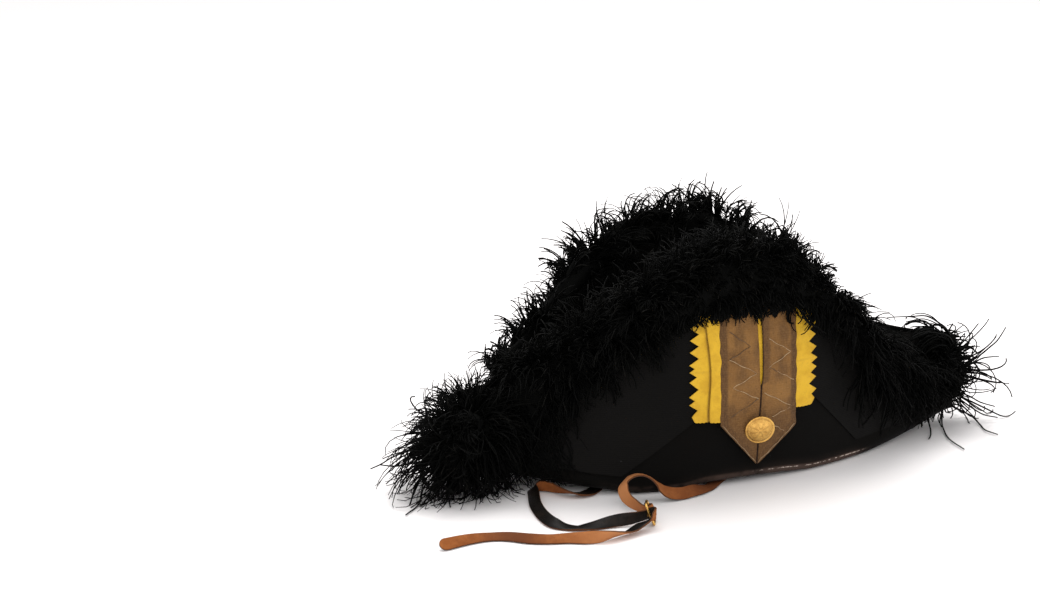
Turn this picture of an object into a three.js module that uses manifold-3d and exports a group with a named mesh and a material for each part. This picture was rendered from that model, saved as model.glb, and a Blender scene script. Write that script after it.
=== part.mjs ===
// A felt bicorne with feather edging, silk cockade, lace loop, button and leather chin strap.
// Millimetres, +Z up. +X is the hat's front, -Y the cockade side, and the hat rests on Z = 0.
import * as THREE from "three";
import { mergeVertices } from "three/addons/utils/BufferGeometryUtils.js";
import Module from "manifold-3d";

const wasm = await Module();
wasm.setup();

// Driving dimensions
const FELT = 2.4;
const SEAM_GAP = 0.3;
const HEAD_LENGTH = 200;
const HEAD_WIDTH = 144;
const HEAD_CENTRE = -12;
const HEAD_EDGE = 4.5;
const CROWN_CLEARANCE = 1;
const FOLD_RADIUS = 8;
const LAND_WIDTH = 7;
const WALL_SWELL = 3;
const TRIM_GAP = 0.5;
const FEATHER_GAP = 0.7;
const BRAID_THICK = 0.7;
const SILK_THICK = 0.7;
const LACE_THICK = 1;
const STRAP_WIDTH = 9.8;
const STRAP_THICK = 1.6;

// The brim's cross-sections from the back end to the front end. foot: height of the bottom fold,
// sole: height of the brim's inner edge, out: half width at the fold, topOut and topHeight: the upper edge.
const WING_SECTIONS = [
  { x: -226, foot: 20, sole: 20, out: 5, topOut: 4, topHeight: 76 },
  { x: -200, foot: 14, sole: 15, out: 25, topOut: 7, topHeight: 80 },
  { x: -170, foot: 9, sole: 11.5, out: 48.5, topOut: 19, topHeight: 90 },
  { x: -136, foot: 5, sole: 7.5, out: 69, topOut: 38, topHeight: 110 },
  { x: -104, foot: 0, sole: 5, out: 79, topOut: 53, topHeight: 134 },
  { x: -74, foot: 0, sole: 1.2, out: 83.3, topOut: 62, topHeight: 151 },
  { x: -50, foot: 3.5, sole: 3.7, out: 85, topOut: 66, topHeight: 161 },
  { x: -14, foot: 3.8, sole: 3.9, out: 84.2, topOut: 69, topHeight: 167 },
  { x: 20, foot: 2.6, sole: 3, out: 81.5, topOut: 67, topHeight: 164 },
  { x: 52, foot: 0, sole: 1.2, out: 76, topOut: 61, topHeight: 150 },
  { x: 76, foot: 0, sole: 2.5, out: 69.5, topOut: 53, topHeight: 134 },
  { x: 104, foot: 0, sole: 5, out: 60, topOut: 41, topHeight: 115 },
  { x: 136, foot: 2, sole: 6, out: 47.5, topOut: 25, topHeight: 99 },
  { x: 170, foot: 5, sole: 7.5, out: 32, topOut: 12, topHeight: 88 },
  { x: 200, foot: 8, sole: 9, out: 17, topOut: 6, topHeight: 82 },
  { x: 226, foot: 11, sole: 11, out: 4.8, topOut: 4, topHeight: 78 },
];

// The crown's level sections: height above the head edge, and the shares of the head's length and width there
const CROWN_SECTIONS = [
  { rise: 0, length: 1, width: 1 },
  { rise: 28, length: 0.99, width: 0.98 },
  { rise: 58, length: 0.965, width: 0.945 },
  { rise: 82, length: 0.92, width: 0.885 },
  { rise: 100, length: 0.83, width: 0.78 },
  { rise: 112, length: 0.68, width: 0.62 },
  { rise: 119, length: 0.46, width: 0.42 },
  { rise: 122, length: 0.2, width: 0.18 },
];

// The braid's lower edge, from end to end: it clears the fold, then rises to a point behind the cockade
const BRAID_EDGE = [
  { x: -204, height: 34 },
  { x: -170, height: 22 },
  { x: -120, height: 16 },
  { x: 8, height: 103 },
  { x: 96, height: 17 },
  { x: 150, height: 18 },
  { x: 204, height: 32 },
];

// The strap's routes from the hat outward. lean: turn of the width about the run, 0 when it stands on edge
const LONG_STRAP = [
  { x: -14, y: 62, z: 12, lean: 90 },
  { x: -18, y: 56, z: 4.5, lean: 90 },
  { x: -44, y: 32, z: 1.3, lean: 90 },
  { x: -92, y: -4, z: 1.3, lean: 90 },
  { x: -119, y: -35, z: 1.3, lean: 90 },
  { x: -132, y: -52.5, z: 1.4, lean: 92 },
  { x: -142.5, y: -62.5, z: 2.1, lean: 96 },
  { x: -152, y: -65.5, z: 3.2, lean: 82 },
  { x: -161, y: -61, z: 4.8, lean: 58 },
  { x: -168, y: -51.5, z: 5.5, lean: 26 },
  { x: -175, y: -43.5, z: 5.8, lean: 12 },
  { x: -182.5, y: -43.5, z: 4.7, lean: 50 },
  { x: -185.2, y: -50.8, z: 3.5, lean: 68 },
  { x: -193.7, y: -76.7, z: 3.2, lean: 66 },
  { x: -197.7, y: -102.7, z: 3.6, lean: 56 },
  { x: -196.3, y: -119.2, z: 3.5, lean: 58 },
  { x: -189.3, y: -126, z: 1.6, lean: 84 },
  { x: -181.5, y: -130.8, z: 1.6, lean: 97 },
  { x: -168.5, y: -133, z: 2.5, lean: 72 },
  { x: -153.7, y: -135.1, z: 4.8, lean: 42 },
  { x: -138.6, y: -139.2, z: 6.8, lean: -8 },
  { x: -128.2, y: -139.6, z: 8.2, lean: -24 },
  { x: -125.2, y: -141.4, z: 9.7, lean: -22 },
  { x: -124.1, y: -144.4, z: 10.4, lean: 0 },
  { x: -125.8, y: -148.3, z: 10.5, lean: 4 },
  { x: -129.6, y: -149.9, z: 8.8, lean: 38 },
  { x: -133.6, y: -151.2, z: 7.1, lean: 66 },
  { x: -139.4, y: -152.6, z: 5.8, lean: 80 },
  { x: -146, y: -155.4, z: 4.3, lean: 80 },
  { x: -152.8, y: -158, z: 3.4, lean: 70 },
  { x: -163.7, y: -161, z: 4.5, lean: 48 },
  { x: -175, y: -162.7, z: 5.2, lean: 12 },
  { x: -186.5, y: -159.5, z: 4.6, lean: -38 },
  { x: -198.9, y: -152.5, z: 3.4, lean: -60 },
  { x: -211, y: -148.7, z: 3, lean: -66 },
  { x: -225.3, y: -142.4, z: 3.3, lean: -62 },
  { x: -237.8, y: -131.7, z: 2.8, lean: -68 },
  { x: -250, y: -126.2, z: 2.4, lean: -73 },
  { x: -263.6, y: -126.2, z: 3.1, lean: -64 },
  { x: -277.4, y: -129.3, z: 3.8, lean: -54 },
  { x: -287.1, y: -132.2, z: 4.2, lean: -46 },
  { x: -293.1, y: -132.7, z: 4.2, lean: -46 },
];
const SHORT_STRAP = [
  { x: -16, y: -54, z: 13, lean: -90 },
  { x: -19, y: -58, z: 5, lean: -90 },
  { x: -27, y: -65, z: 1.3, lean: -90 },
  { x: -38, y: -75, z: 1.3, lean: -90 },
  { x: -48, y: -84.5, z: 1.6, lean: -86 },
  { x: -57, y: -90.5, z: 3.2, lean: -66 },
  { x: -68, y: -96, z: 5, lean: -40 },
  { x: -80, y: -99.5, z: 5.4, lean: -20 },
  { x: -89, y: -99.5, z: 6.8, lean: -36 },
  { x: -94.8, y: -97.5, z: 9.6, lean: -66 },
  { x: -99.2, y: -95.5, z: 14.2, lean: -90 },
  { x: -105, y: -94, z: 19.6, lean: -96 },
  { x: -112.8, y: -93, z: 22.8, lean: -102 },
  { x: -121.5, y: -92.6, z: 21.4, lean: -106 },
  { x: -127.6, y: -94.4, z: 16.2, lean: -122 },
  { x: -130, y: -102, z: 11.8, lean: -146 },
  { x: -129.4, y: -112, z: 9.4, lean: -172 },
  { x: -127.6, y: -122, z: 8.8, lean: -192 },
  { x: -126.6, y: -129.5, z: 8.4, lean: -200 },
  { x: -124.8, y: -133.3, z: 8.3, lean: -202 },
  { x: -125.2, y: -135.4, z: 8.5, lean: -198 },
  { x: -124.1, y: -136.9, z: 9.2, lean: -180 },
  { x: -122.4, y: -136.9, z: 9.7, lean: -164 },
  { x: -120.8, y: -135.4, z: 10, lean: -158 },
  { x: -121.5, y: -131.6, z: 9.2, lean: -160 },
  { x: -123.4, y: -127.6, z: 8.6, lean: -162 },
];

// Cubic curve through a table's rows that never overshoots them
function tableCurve(rows, key) {
  const xs = rows.map((row) => row.x ?? row.rise);
  const ys = rows.map((row) => row[key]);
  const rises = xs.slice(1).map((x, i) => (ys[i + 1] - ys[i]) / (x - xs[i]));
  const slopes = ys.map((_, i) => {
    const before = rises[Math.max(i - 1, 0)];
    const after = rises[Math.min(i, rises.length - 1)];
    return before * after <= 0 ? 0 : (2 * before * after) / (before + after);
  });
  return (x) => {
    const last = xs.length - 2;
    const i = Math.min(Math.max(xs.findIndex((next) => next > x) - 1, 0), last);
    const cell = x >= xs[last + 1] ? last : i;
    const width = xs[cell + 1] - xs[cell];
    const t = (x - xs[cell]) / width;
    const bend = t * t * (3 - 2 * t);
    const left = slopes[cell] * width * t * (1 - t) * (1 - t);
    const right = slopes[cell + 1] * width * t * t * (1 - t);
    return ys[cell] + (ys[cell + 1] - ys[cell]) * bend + left - right;
  };
}

const spread = (from, to, count) =>
  Array.from({ length: count + 1 }, (_, i) => from + ((to - from) * i) / count);
const mix = (a, b, t) => a + (b - a) * t;
const clamp = (value, low, high) => Math.min(Math.max(value, low), high);

// Repeatable scatter between -1 and 1
function scatter(seed) {
  const wave = Math.sin(seed * 127.1 + 311.7) * 43758.5453;
  return 2 * (wave - Math.floor(wave)) - 1;
}

// Closed solids from grids

function geometryOf(points, triangles) {
  const geometry = new THREE.BufferGeometry();
  const flat = points.flatMap((point) => [point.x, point.y, point.z]);
  geometry.setAttribute("position", new THREE.Float32BufferAttribute(flat, 3));
  geometry.setIndex(triangles);
  return geometry;
}

// Two facing quads of a grid row as triangles, in the order that turns the face along the grid's normal
const quad = (a, b, c, d) => [a, b, c, a, c, d];

// A sheet of some thickness on surface(u, v), whose normal is du x dv: from and to are lifts along that normal
function sheetSolid(us, vs, surface, from, to) {
  const step = 0.02;
  const low = [];
  const high = [];
  for (const u of us) {
    for (const v of vs) {
      const centre = surface(u, v);
      const alongU = surface(Math.min(u + step, us.at(-1)), v).sub(surface(Math.max(u - step, us[0]), v));
      const alongV = surface(u, Math.min(v + step, vs.at(-1))).sub(surface(u, Math.max(v - step, vs[0])));
      const normal = alongU.cross(alongV).normalize();
      low.push(centre.clone().addScaledVector(normal, typeof from === "function" ? from(u, v) : from));
      high.push(centre.clone().addScaledVector(normal, typeof to === "function" ? to(u, v) : to));
    }
  }
  const rows = vs.length;
  const count = low.length;
  const at = (i, j) => i * rows + j;
  const triangles = [];
  for (let i = 0; i + 1 < us.length; i++) {
    for (let j = 0; j + 1 < rows; j++) {
      const corners = [at(i, j), at(i + 1, j), at(i + 1, j + 1), at(i, j + 1)];
      triangles.push(...quad(...corners.map((corner) => corner + count)));
      triangles.push(...quad(...corners.reverse()));
    }
    const end = rows - 1;
    triangles.push(...quad(at(i, 0), at(i + 1, 0), at(i + 1, 0) + count, at(i, 0) + count));
    triangles.push(...quad(at(i + 1, end), at(i, end), at(i, end) + count, at(i + 1, end) + count));
  }
  for (let j = 0; j + 1 < rows; j++) {
    const end = us.length - 1;
    triangles.push(...quad(at(0, j + 1), at(0, j), at(0, j) + count, at(0, j + 1) + count));
    triangles.push(...quad(at(end, j), at(end, j + 1), at(end, j + 1) + count, at(end, j) + count));
  }
  return geometryOf([...low, ...high], triangles);
}

// A closed tube through rings of points; each end is closed by a fan about its middle
function ringsSolid(rings) {
  const sides = rings[0].length;
  const points = rings.flat();
  const triangles = [];
  for (let i = 0; i + 1 < rings.length; i++) {
    for (let k = 0; k < sides; k++) {
      const next = (k + 1) % sides;
      triangles.push(...quad(i * sides + k, i * sides + next, (i + 1) * sides + next, (i + 1) * sides + k));
    }
  }
  const middle = (ring) => ring.reduce((sum, point) => sum.add(point), new THREE.Vector3()).divideScalar(sides);
  const first = points.push(middle(rings[0])) - 1;
  const last = points.push(middle(rings.at(-1))) - 1;
  const top = (rings.length - 1) * sides;
  for (let k = 0; k < sides; k++) {
    const next = (k + 1) % sides;
    triangles.push(first, next, k);
    triangles.push(last, top + k, top + next);
  }
  return geometryOf(points, triangles);
}

function mirrored(geometry) {
  const copy = geometry.clone();
  copy.scale(1, -1, 1);
  const index = copy.index.array;
  for (let i = 0; i < index.length; i += 3) {
    [index[i], index[i + 1]] = [index[i + 1], index[i]];
  }
  return copy;
}

// Joins and cuts

function solidOf(geometry) {
  const bare = geometry.clone();
  bare.deleteAttribute("normal");
  bare.deleteAttribute("uv");
  const merged = mergeVertices(bare, 1e-4);
  const vertProperties = merged.attributes.position.array;
  const triVerts = Uint32Array.from(merged.index.array);
  return new wasm.Manifold(new wasm.Mesh({ numProp: 3, vertProperties, triVerts }));
}

// The largest body of a solid, as a geometry
function mainBody(solid) {
  const bodies = solid.decompose().sort((a, b) => b.volume() - a.volume());
  const { vertProperties, triVerts } = bodies[0].getMesh();
  const geometry = new THREE.BufferGeometry();
  geometry.setAttribute("position", new THREE.BufferAttribute(vertProperties, 3));
  geometry.setIndex(new THREE.BufferAttribute(triVerts, 1));
  return geometry;
}

const joined = (geometries) => geometries.map(solidOf).reduce((sum, solid) => sum.add(solid));

// The brim's form

const wing = Object.fromEntries(
  ["foot", "sole", "out", "topOut", "topHeight"].map((key) => [key, tableCurve(WING_SECTIONS, key)]),
);
const HAT_END = WING_SECTIONS.at(-1).x;
const headStart = HEAD_CENTRE - HEAD_LENGTH / 2;
const headStop = HEAD_CENTRE + HEAD_LENGTH / 2;
const foldRadius = (x) => Math.min(FOLD_RADIUS, wing.out(x) - 0.5);

// Half width of the head opening, which narrows to the seam along the keel beyond its ends
function openingOut(x) {
  const share = clamp((x - HEAD_CENTRE) / (HEAD_LENGTH / 2), -1, 1);
  return Math.max((HEAD_WIDTH / 2) * Math.sqrt(1 - share * share), SEAM_GAP / 2);
}

// Half width of the wing's outer face at a height above its fold
function wallOut(x, height) {
  const low = wing.foot(x) + foldRadius(x);
  const share = (height - low) / (wing.topHeight(x) - low);
  const swell = WALL_SWELL * 4 * share * (1 - share) * (1 - (x / HAT_END) ** 2);
  return mix(wing.out(x), wing.topOut(x), share) + swell;
}
const onWall = (x, height) => new THREE.Vector3(x, -wallOut(x, height), height);

// The brim's outer face on the cockade side. s is 0 to 1 over the sole, to 2 round the fold, to 3 up the wall
function brimFace(x, s) {
  const radius = foldRadius(x);
  const foldStart = wing.out(x) - radius;
  const foot = wing.foot(x);
  if (s <= 1) {
    const inner = openingOut(x);
    const land = Math.max(mix(inner, foldStart, 0.5), foldStart - LAND_WIDTH);
    const onLand = s > 0.5;
    const out = onLand ? mix(land, foldStart, 2 * s - 1) : mix(inner, land, 2 * s);
    const height = onLand ? foot : mix(wing.sole(x), foot, 2 * s);
    return new THREE.Vector3(x, -out, height);
  }
  if (s <= 2) {
    const turn = ((s - 1) * Math.PI) / 2;
    return new THREE.Vector3(x, -(foldStart + radius * Math.sin(turn)), foot + radius * (1 - Math.cos(turn)));
  }
  return onWall(x, mix(foot + radius, wing.topHeight(x), s - 2));
}

const openingStations = spread(0, Math.PI, 14).map((turn) => HEAD_CENTRE - (HEAD_LENGTH / 2) * Math.cos(turn));
const brimStations = [
  ...spread(-HAT_END, headStart, 6).slice(0, -1),
  ...openingStations,
  ...spread(headStop, HAT_END, 8).slice(1),
];
const brimRows = [0, 0.5, ...spread(1, 2, 3), ...spread(2, 3, 4).slice(1)];

const wingGeometry = sheetSolid(brimStations, brimRows, brimFace, -FELT, 0);

// The crown: a felt dome, open below

function crownGeometry() {
  const share = { length: tableCurve(CROWN_SECTIONS, "length"), width: tableCurve(CROWN_SECTIONS, "width") };
  const sides = 26;
  const innerEdge = 0.5;
  const crest = 0.6;
  const rises = CROWN_SECTIONS.map((row) => row.rise);
  const ring = (rise, inset) =>
    spread(0, 2 * Math.PI, sides)
      .slice(0, -1)
      .map((turn) => {
        const length = share.length(rise) * (HEAD_LENGTH / 2 - CROWN_CLEARANCE) - inset;
        const width = share.width(rise) * (HEAD_WIDTH / 2 - CROWN_CLEARANCE) - inset;
        const drop = rise > 0 ? inset : 0;
        const height = HEAD_EDGE + Math.max(rise - drop, innerEdge);
        return new THREE.Vector3(HEAD_CENTRE + length * Math.cos(turn), width * Math.sin(turn), height);
      });
  const outer = rises.map((rise) => ring(rise, 0));
  const inner = rises.map((rise) => ring(rise, FELT)).reverse();
  const rings = [...outer, ...inner];
  const points = rings.flat();
  const triangles = [];
  const fan = (base, peak, up) => {
    for (let k = 0; k < sides; k++) {
      const next = (k + 1) % sides;
      triangles.push(peak, ...(up ? [base + k, base + next] : [base + next, base + k]));
    }
  };
  const band = (low, high) => {
    for (let k = 0; k < sides; k++) {
      const next = (k + 1) % sides;
      triangles.push(...quad(low + k, low + next, high + next, high + k));
    }
  };
  const half = rises.length;
  for (let i = 0; i + 1 < 2 * half; i++) {
    if (i !== half - 1) {
      band(i * sides, (i + 1) * sides);
    }
  }
  band((2 * half - 1) * sides, 0);
  const summit = HEAD_EDGE + rises.at(-1) + crest;
  const outerPeak = points.push(new THREE.Vector3(HEAD_CENTRE, 0, summit)) - 1;
  const innerPeak = points.push(new THREE.Vector3(HEAD_CENTRE, 0, summit - FELT)) - 1;
  fan((half - 1) * sides, outerPeak, true);
  fan(half * sides, innerPeak, false);
  return geometryOf(points, triangles);
}

// Layers on the cockade wing, each a sheet lifted off the one below

const BRAID_LIFT = TRIM_GAP + SEAM_GAP;
const SILK_LIFT = BRAID_LIFT + BRAID_THICK + TRIM_GAP;
const LACE_LIFT = SILK_LIFT + SILK_THICK + 2 * TRIM_GAP;
const BUTTON_LIFT = LACE_LIFT + LACE_THICK + TRIM_GAP;

function braidGeometry() {
  const inset = 2;
  const lowerEdge = (x) => {
    const i = clamp(BRAID_EDGE.findIndex((row) => row.x >= x) - 1, 0, BRAID_EDGE.length - 2);
    const [a, b] = [BRAID_EDGE[i], BRAID_EDGE[i + 1]];
    return Math.max(mix(a.height, b.height, (x - a.x) / (b.x - a.x)), wing.foot(x) + foldRadius(x) + 1);
  };
  const corners = BRAID_EDGE.map((row) => row.x);
  const between = brimStations.filter((x) => x > corners[0] && x < corners.at(-1));
  const stations = [...corners, ...between].sort((a, b) => a - b);
  const face = (x, share) => onWall(x, mix(lowerEdge(x), wing.topHeight(x) - inset, share));
  return sheetSolid(stations, spread(0, 1, 4), face, BRAID_LIFT, BRAID_LIFT + BRAID_THICK);
}

const COCKADE = {
  centre: -4.5,
  lean: 0.02,
  top: 148,
  laceLeft: 36,
  laceRight: 32.5,
  laceCorner: 51.5,
  lacePoint: 16,
  slitTop: 2.2,
  slitEnd: 58.5,
  button: 45.5,
  silkLeft: 59,
  silkRight: 53,
  silkFoot: 57.5,
  teeth: 9,
  toothDepth: 4,
};
const cockadeMiddle = (height) => COCKADE.centre + COCKADE.lean * (height - COCKADE.laceCorner);

// Pinked silk with one pleat in each tab: lifted where the upper ply lies over the lower one
function silkGeometry() {
  const { top, silkFoot, teeth, toothDepth, silkLeft, silkRight, laceLeft, laceRight } = COCKADE;
  const pleat = mix(laceLeft, silkLeft, 0.45);
  const pleatRise = 1;
  const tuck = 4;
  const across = [-silkLeft, -pleat - pleatRise, -pleat, tuck - laceLeft, 0, laceRight - tuck, silkRight];
  const heights = spread(silkFoot, top, 2 * teeth);
  const face = (place, height) => {
    const row = Math.round(((height - silkFoot) / (top - silkFoot)) * teeth * 2);
    const bite = row % 2 === 0 ? toothDepth : 0;
    const [hidden, reach] = place < 0 ? [laceLeft, silkLeft] : [laceRight, silkRight];
    const share = clamp((Math.abs(place) - hidden) / (reach - hidden), 0, 1);
    return onWall(cockadeMiddle(height) + place - Math.sign(place) * bite * share, height);
  };
  const low = (place) => SILK_LIFT + (place < -pleat ? 0 : TRIM_GAP);
  const high = (place) => low(place) + SILK_THICK;
  return sheetSolid(across, heights, face, low, high);
}

// Lace loop: two legs with a slit between them, joined at the pointed end
function laceGeometry() {
  const { top, laceLeft, laceRight, laceCorner, lacePoint, slitTop, slitEnd } = COCKADE;
  const overlap = -1;
  const slitFoot = (slitEnd - lacePoint) / (top - lacePoint);
  const slitStart = 0.5;
  const shares = [...spread(0, slitFoot, 3), ...spread(slitFoot + 0.02, 1, 4)];
  const open = (share) => mix(slitStart, slitTop, (share - slitFoot) / (1 - slitFoot));
  const slit = (share) => (share > slitFoot ? open(share) : overlap);
  const leg = (side, wide) => {
    const face = (across, share) => {
      const place = mix(slit(share), wide, Math.abs(across));
      const foot = mix(lacePoint, laceCorner, clamp(place / wide, 0, 1));
      const height = mix(foot, top, share);
      return onWall(cockadeMiddle(height) + side * place, height);
    };
    const acrosses = side > 0 ? spread(0, 1, 3) : spread(-1, 0, 3);
    return sheetSolid(acrosses, shares, face, LACE_LIFT, LACE_LIFT + LACE_THICK);
  };
  return mainBody(joined([leg(-1, laceLeft), leg(1, laceRight)]));
}

// Domed button with a rolled rim, turned about its own axis
const BUTTON_RADIUS = 12.3;
const BUTTON_PROFILE = [
  { share: 0, up: 0 },
  { share: 0.94, up: 0 },
  { share: 1, up: 0.9 },
  { share: 0.95, up: 1.8 },
  { share: 0.85, up: 1.6 },
  { share: 0.6, up: 2.7 },
  { share: 0.3, up: 3.3 },
  { share: 0, up: 3.5 },
];

function buttonGeometry() {
  const profile = BUTTON_PROFILE.map(({ share, up }) => new THREE.Vector2(share * BUTTON_RADIUS, up));
  return new THREE.LatheGeometry(profile, 18);
}

// Feather edging

// A lock's girth along its length, as a share of its thickness
const LOCK_GIRTH = [
  { share: 0, girth: 1 },
  { share: 0.62, girth: 0.85 },
  { share: 1, girth: 0.25 },
];

// A tapering four-sided lock from root through bend to tip
function lockGeometry(root, bend, tip, thick) {
  const curve = new THREE.QuadraticBezierCurve3(root, bend, tip);
  const nearlyUp = new THREE.Vector3(0.21, 0.13, 0.97);
  const rings = LOCK_GIRTH.map(({ share, girth }) => {
    const run = curve.getTangent(share);
    const side = nearlyUp.clone().cross(run).normalize();
    const up = run.clone().cross(side);
    const middle = curve.getPoint(share);
    return spread(0, 2 * Math.PI, 4)
      .slice(0, -1)
      .map((turn) =>
        middle
          .clone()
          .addScaledVector(side, thick * girth * Math.cos(turn))
          .addScaledVector(up, thick * girth * Math.sin(turn)),
      );
  });
  return ringsSolid(rings);
}

// The edging along each wing. right and left: how far it rises above its line on that wing, sink: how far
// that line runs below the wing's upper edge, drop: how far its locks hang below the upper edge.
const FEATHER_EDGE = [
  { x: -196, right: 20, left: 20, sink: 0, drop: 26 },
  { x: -164, right: 28, left: 28, sink: 0, drop: 40 },
  { x: -120, right: 34, left: 38, sink: 0, drop: 42 },
  { x: -60, right: 38, left: 42, sink: 0, drop: 30 },
  { x: 0, right: 38, left: 40, sink: 0, drop: 24 },
  { x: 50, right: 22, left: 40, sink: 0, drop: 24 },
  { x: 80, right: 15, left: 40, sink: 0, drop: 38 },
  { x: 112, right: 13, left: 28, sink: 8, drop: 74 },
  { x: 150, right: 12, left: 17, sink: 26, drop: 64 },
  { x: 196, right: 12, left: 12, sink: 34, drop: 48 },
];
const EDGE_REACH = FEATHER_EDGE.at(-1).x;
const feather = Object.fromEntries(
  ["right", "left", "sink", "drop"].map((key) => [key, tableCurve(FEATHER_EDGE, key)]),
);
const edgeLine = (x) => wing.topHeight(x) - feather.sink(x);

// A soft roll along the edging's line that the locks grow from
const ROLL = { wide: 14, low: 13, up: 0.55, out: 4, endSize: 0.6, steps: 15, sides: 6 };

function edgeRoll(side) {
  const rings = spread(-EDGE_REACH, EDGE_REACH, ROLL.steps).map((x) => {
    const size = mix(ROLL.endSize, 1, Math.sqrt(1 - (x / EDGE_REACH) ** 2));
    return spread(0, 2 * Math.PI, ROLL.sides)
      .slice(0, -1)
      .map((turn) => {
        const lift = Math.sin(turn) * (Math.sin(turn) > 0 ? ROLL.up * feather[side](x) : ROLL.low * size);
        const y = -wallOut(x, edgeLine(x)) - ROLL.out + ROLL.wide * size * Math.cos(turn);
        return new THREE.Vector3(x, y, edgeLine(x) + lift);
      });
  });
  return ringsSolid(rings);
}

// Rows of locks: over the outer face, upward, inward. Outs are from the wall's face, rises and drops are shares
const LOCK_ROWS = [
  { count: 11, from: -180, to: 180, bendOut: 26, bendRise: 0.35, tipOut: 9, tipRise: 0, tipDrop: 1 },
  { count: 8, from: -172, to: 124, bendOut: 6, bendRise: 0.85, tipOut: 18, tipRise: 1, tipDrop: 0 },
  { count: 3, from: -120, to: 90, bendOut: -10, bendRise: 0.7, tipOut: -14, tipRise: 0.75, tipDrop: 0 },
];
// The locks' size and roots, and how much their thickness, place and bend vary
const EDGE_LOCK = { thick: 12, endThick: 0.7, varyThick: 0.1, shift: 4, sway: 9, rootOut: 3, rootUp: 5 };

function edgeLocks(side, seed) {
  return LOCK_ROWS.flatMap((row, which) =>
    spread(row.from, row.to, row.count - 1).map((place, k) => {
      const roll = (salt) => scatter(seed + 17 * which + 3.1 * k + salt);
      const x = place + EDGE_LOCK.shift * roll(1);
      const sway = EDGE_LOCK.sway * roll(3);
      const line = edgeLine(x);
      const lineOut = wallOut(x, line);
      const bendHeight = line + row.bendRise * feather[side](x);
      const hang = wing.topHeight(x) - feather.drop(x);
      const tipHeight = mix(line + row.tipRise * feather[side](x), hang, row.tipDrop);
      const root = new THREE.Vector3(x, -lineOut - EDGE_LOCK.rootOut, line + EDGE_LOCK.rootUp);
      const bend = new THREE.Vector3(x + sway, -lineOut - row.bendOut, bendHeight);
      const tip = new THREE.Vector3(x + 2 * sway, -wallOut(x, tipHeight) - row.tipOut, tipHeight);
      const size = mix(EDGE_LOCK.endThick, 1, Math.sqrt(1 - (x / EDGE_REACH) ** 2));
      return lockGeometry(root, bend, tip, EDGE_LOCK.thick * (size + EDGE_LOCK.varyThick * roll(2)));
    }),
  );
}

// Tufts on the two ends: a ball that holds the ends of the wings, with locks all round
const TUFTS = {
  front: { x: 225, y: -3, z: 47, ball: 26, reach: 53, locks: 11, seed: 7 },
  back: { x: -224, y: -16, z: 44, ball: 30, reach: 47, locks: 11, seed: 9 },
};
// The tufts' locks: thick and lowest in millimetres, the rest as shares of a lock's reach
const TUFT_LOCK = {
  thick: 9,
  lowest: 6,
  length: 0.9,
  varyLength: 0.14,
  droop: 0.08,
  bend: 0.62,
  sway: 0.3,
  root: 0.17,
};

// Rays spread evenly over a ball. swell: how much fatter all of it is taken, for the room left round a tuft
function tuftSolid({ x, y, z, ball, reach, locks, seed, swell = 0 }) {
  const centre = new THREE.Vector3(x, y, z);
  const core = new THREE.IcosahedronGeometry(ball + swell, 1);
  core.translate(x, y, z);
  const golden = Math.PI * (3 - Math.sqrt(5));
  const rays = spread(0, locks - 1, locks - 1).map((k) => {
    const up = 1 - (2 * (k + 0.5)) / locks;
    const flat = Math.sqrt(1 - up * up);
    const ray = new THREE.Vector3(flat * Math.cos(golden * k), flat * Math.sin(golden * k), up);
    const length = reach * (TUFT_LOCK.length + TUFT_LOCK.varyLength * scatter(seed + k));
    const sway = TUFT_LOCK.sway * reach * scatter(seed + locks + k);
    const across = new THREE.Vector3(-ray.y, ray.x, 0);
    const root = centre.clone().addScaledVector(ray, TUFT_LOCK.root * reach);
    const bend = centre.clone().addScaledVector(ray, TUFT_LOCK.bend * length).addScaledVector(across, sway);
    const tip = centre.clone().addScaledVector(ray, length);
    tip.z = Math.max(tip.z - TUFT_LOCK.droop * reach * flat, TUFT_LOCK.lowest);
    tip.addScaledVector(ray, swell);
    return lockGeometry(root, bend, tip, TUFT_LOCK.thick + 2 * swell);
  });
  return joined([core, ...rays]);
}

// Chin strap

// A flat strap along a route, in three steps for every two rows; lean turns its width about its run
function strapGeometry(route) {
  const points = route.map(({ x, y, z }) => new THREE.Vector3(x, y, z));
  const curve = new THREE.CatmullRomCurve3(points, false, "centripetal");
  const [w, t] = [STRAP_WIDTH / 2, STRAP_THICK / 2];
  const section = [
    [w, t],
    [w, -t],
    [-w, -t],
    [-w, t],
  ];
  const up = new THREE.Vector3(0, 0, 1);
  const spans = route.length - 1;
  const rings = spread(0, spans, Math.round(1.5 * spans)).map((place) => {
    const k = Math.min(Math.floor(place), spans - 1);
    const lean = THREE.MathUtils.degToRad(mix(route[k].lean, route[k + 1].lean, place - k));
    const run = curve.getTangent(place / spans);
    const left = up.clone().cross(run).normalize();
    const rise = run.clone().cross(left);
    const wide = rise.clone().multiplyScalar(Math.cos(lean)).addScaledVector(left, Math.sin(lean));
    const face = left.clone().multiplyScalar(Math.cos(lean)).addScaledVector(rise, -Math.sin(lean));
    const middle = curve.getPoint(place / spans);
    return section.map(([a, b]) => middle.clone().addScaledVector(wide, a).addScaledVector(face, b));
  });
  return ringsSolid(rings);
}

// Wire buckle: a rectangular frame across the strap, tilted and turned, and a prong through the strap's hole
const BUCKLE = { x: -125.5, y: -139.6, z: 9.2, tall: 17, deep: 11, wire: 0.95, prong: 0.7, hole: 1.1 };
const BUCKLE_TURN = THREE.MathUtils.degToRad(-27);
const BUCKLE_TILT = THREE.MathUtils.degToRad(-22.5);

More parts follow.
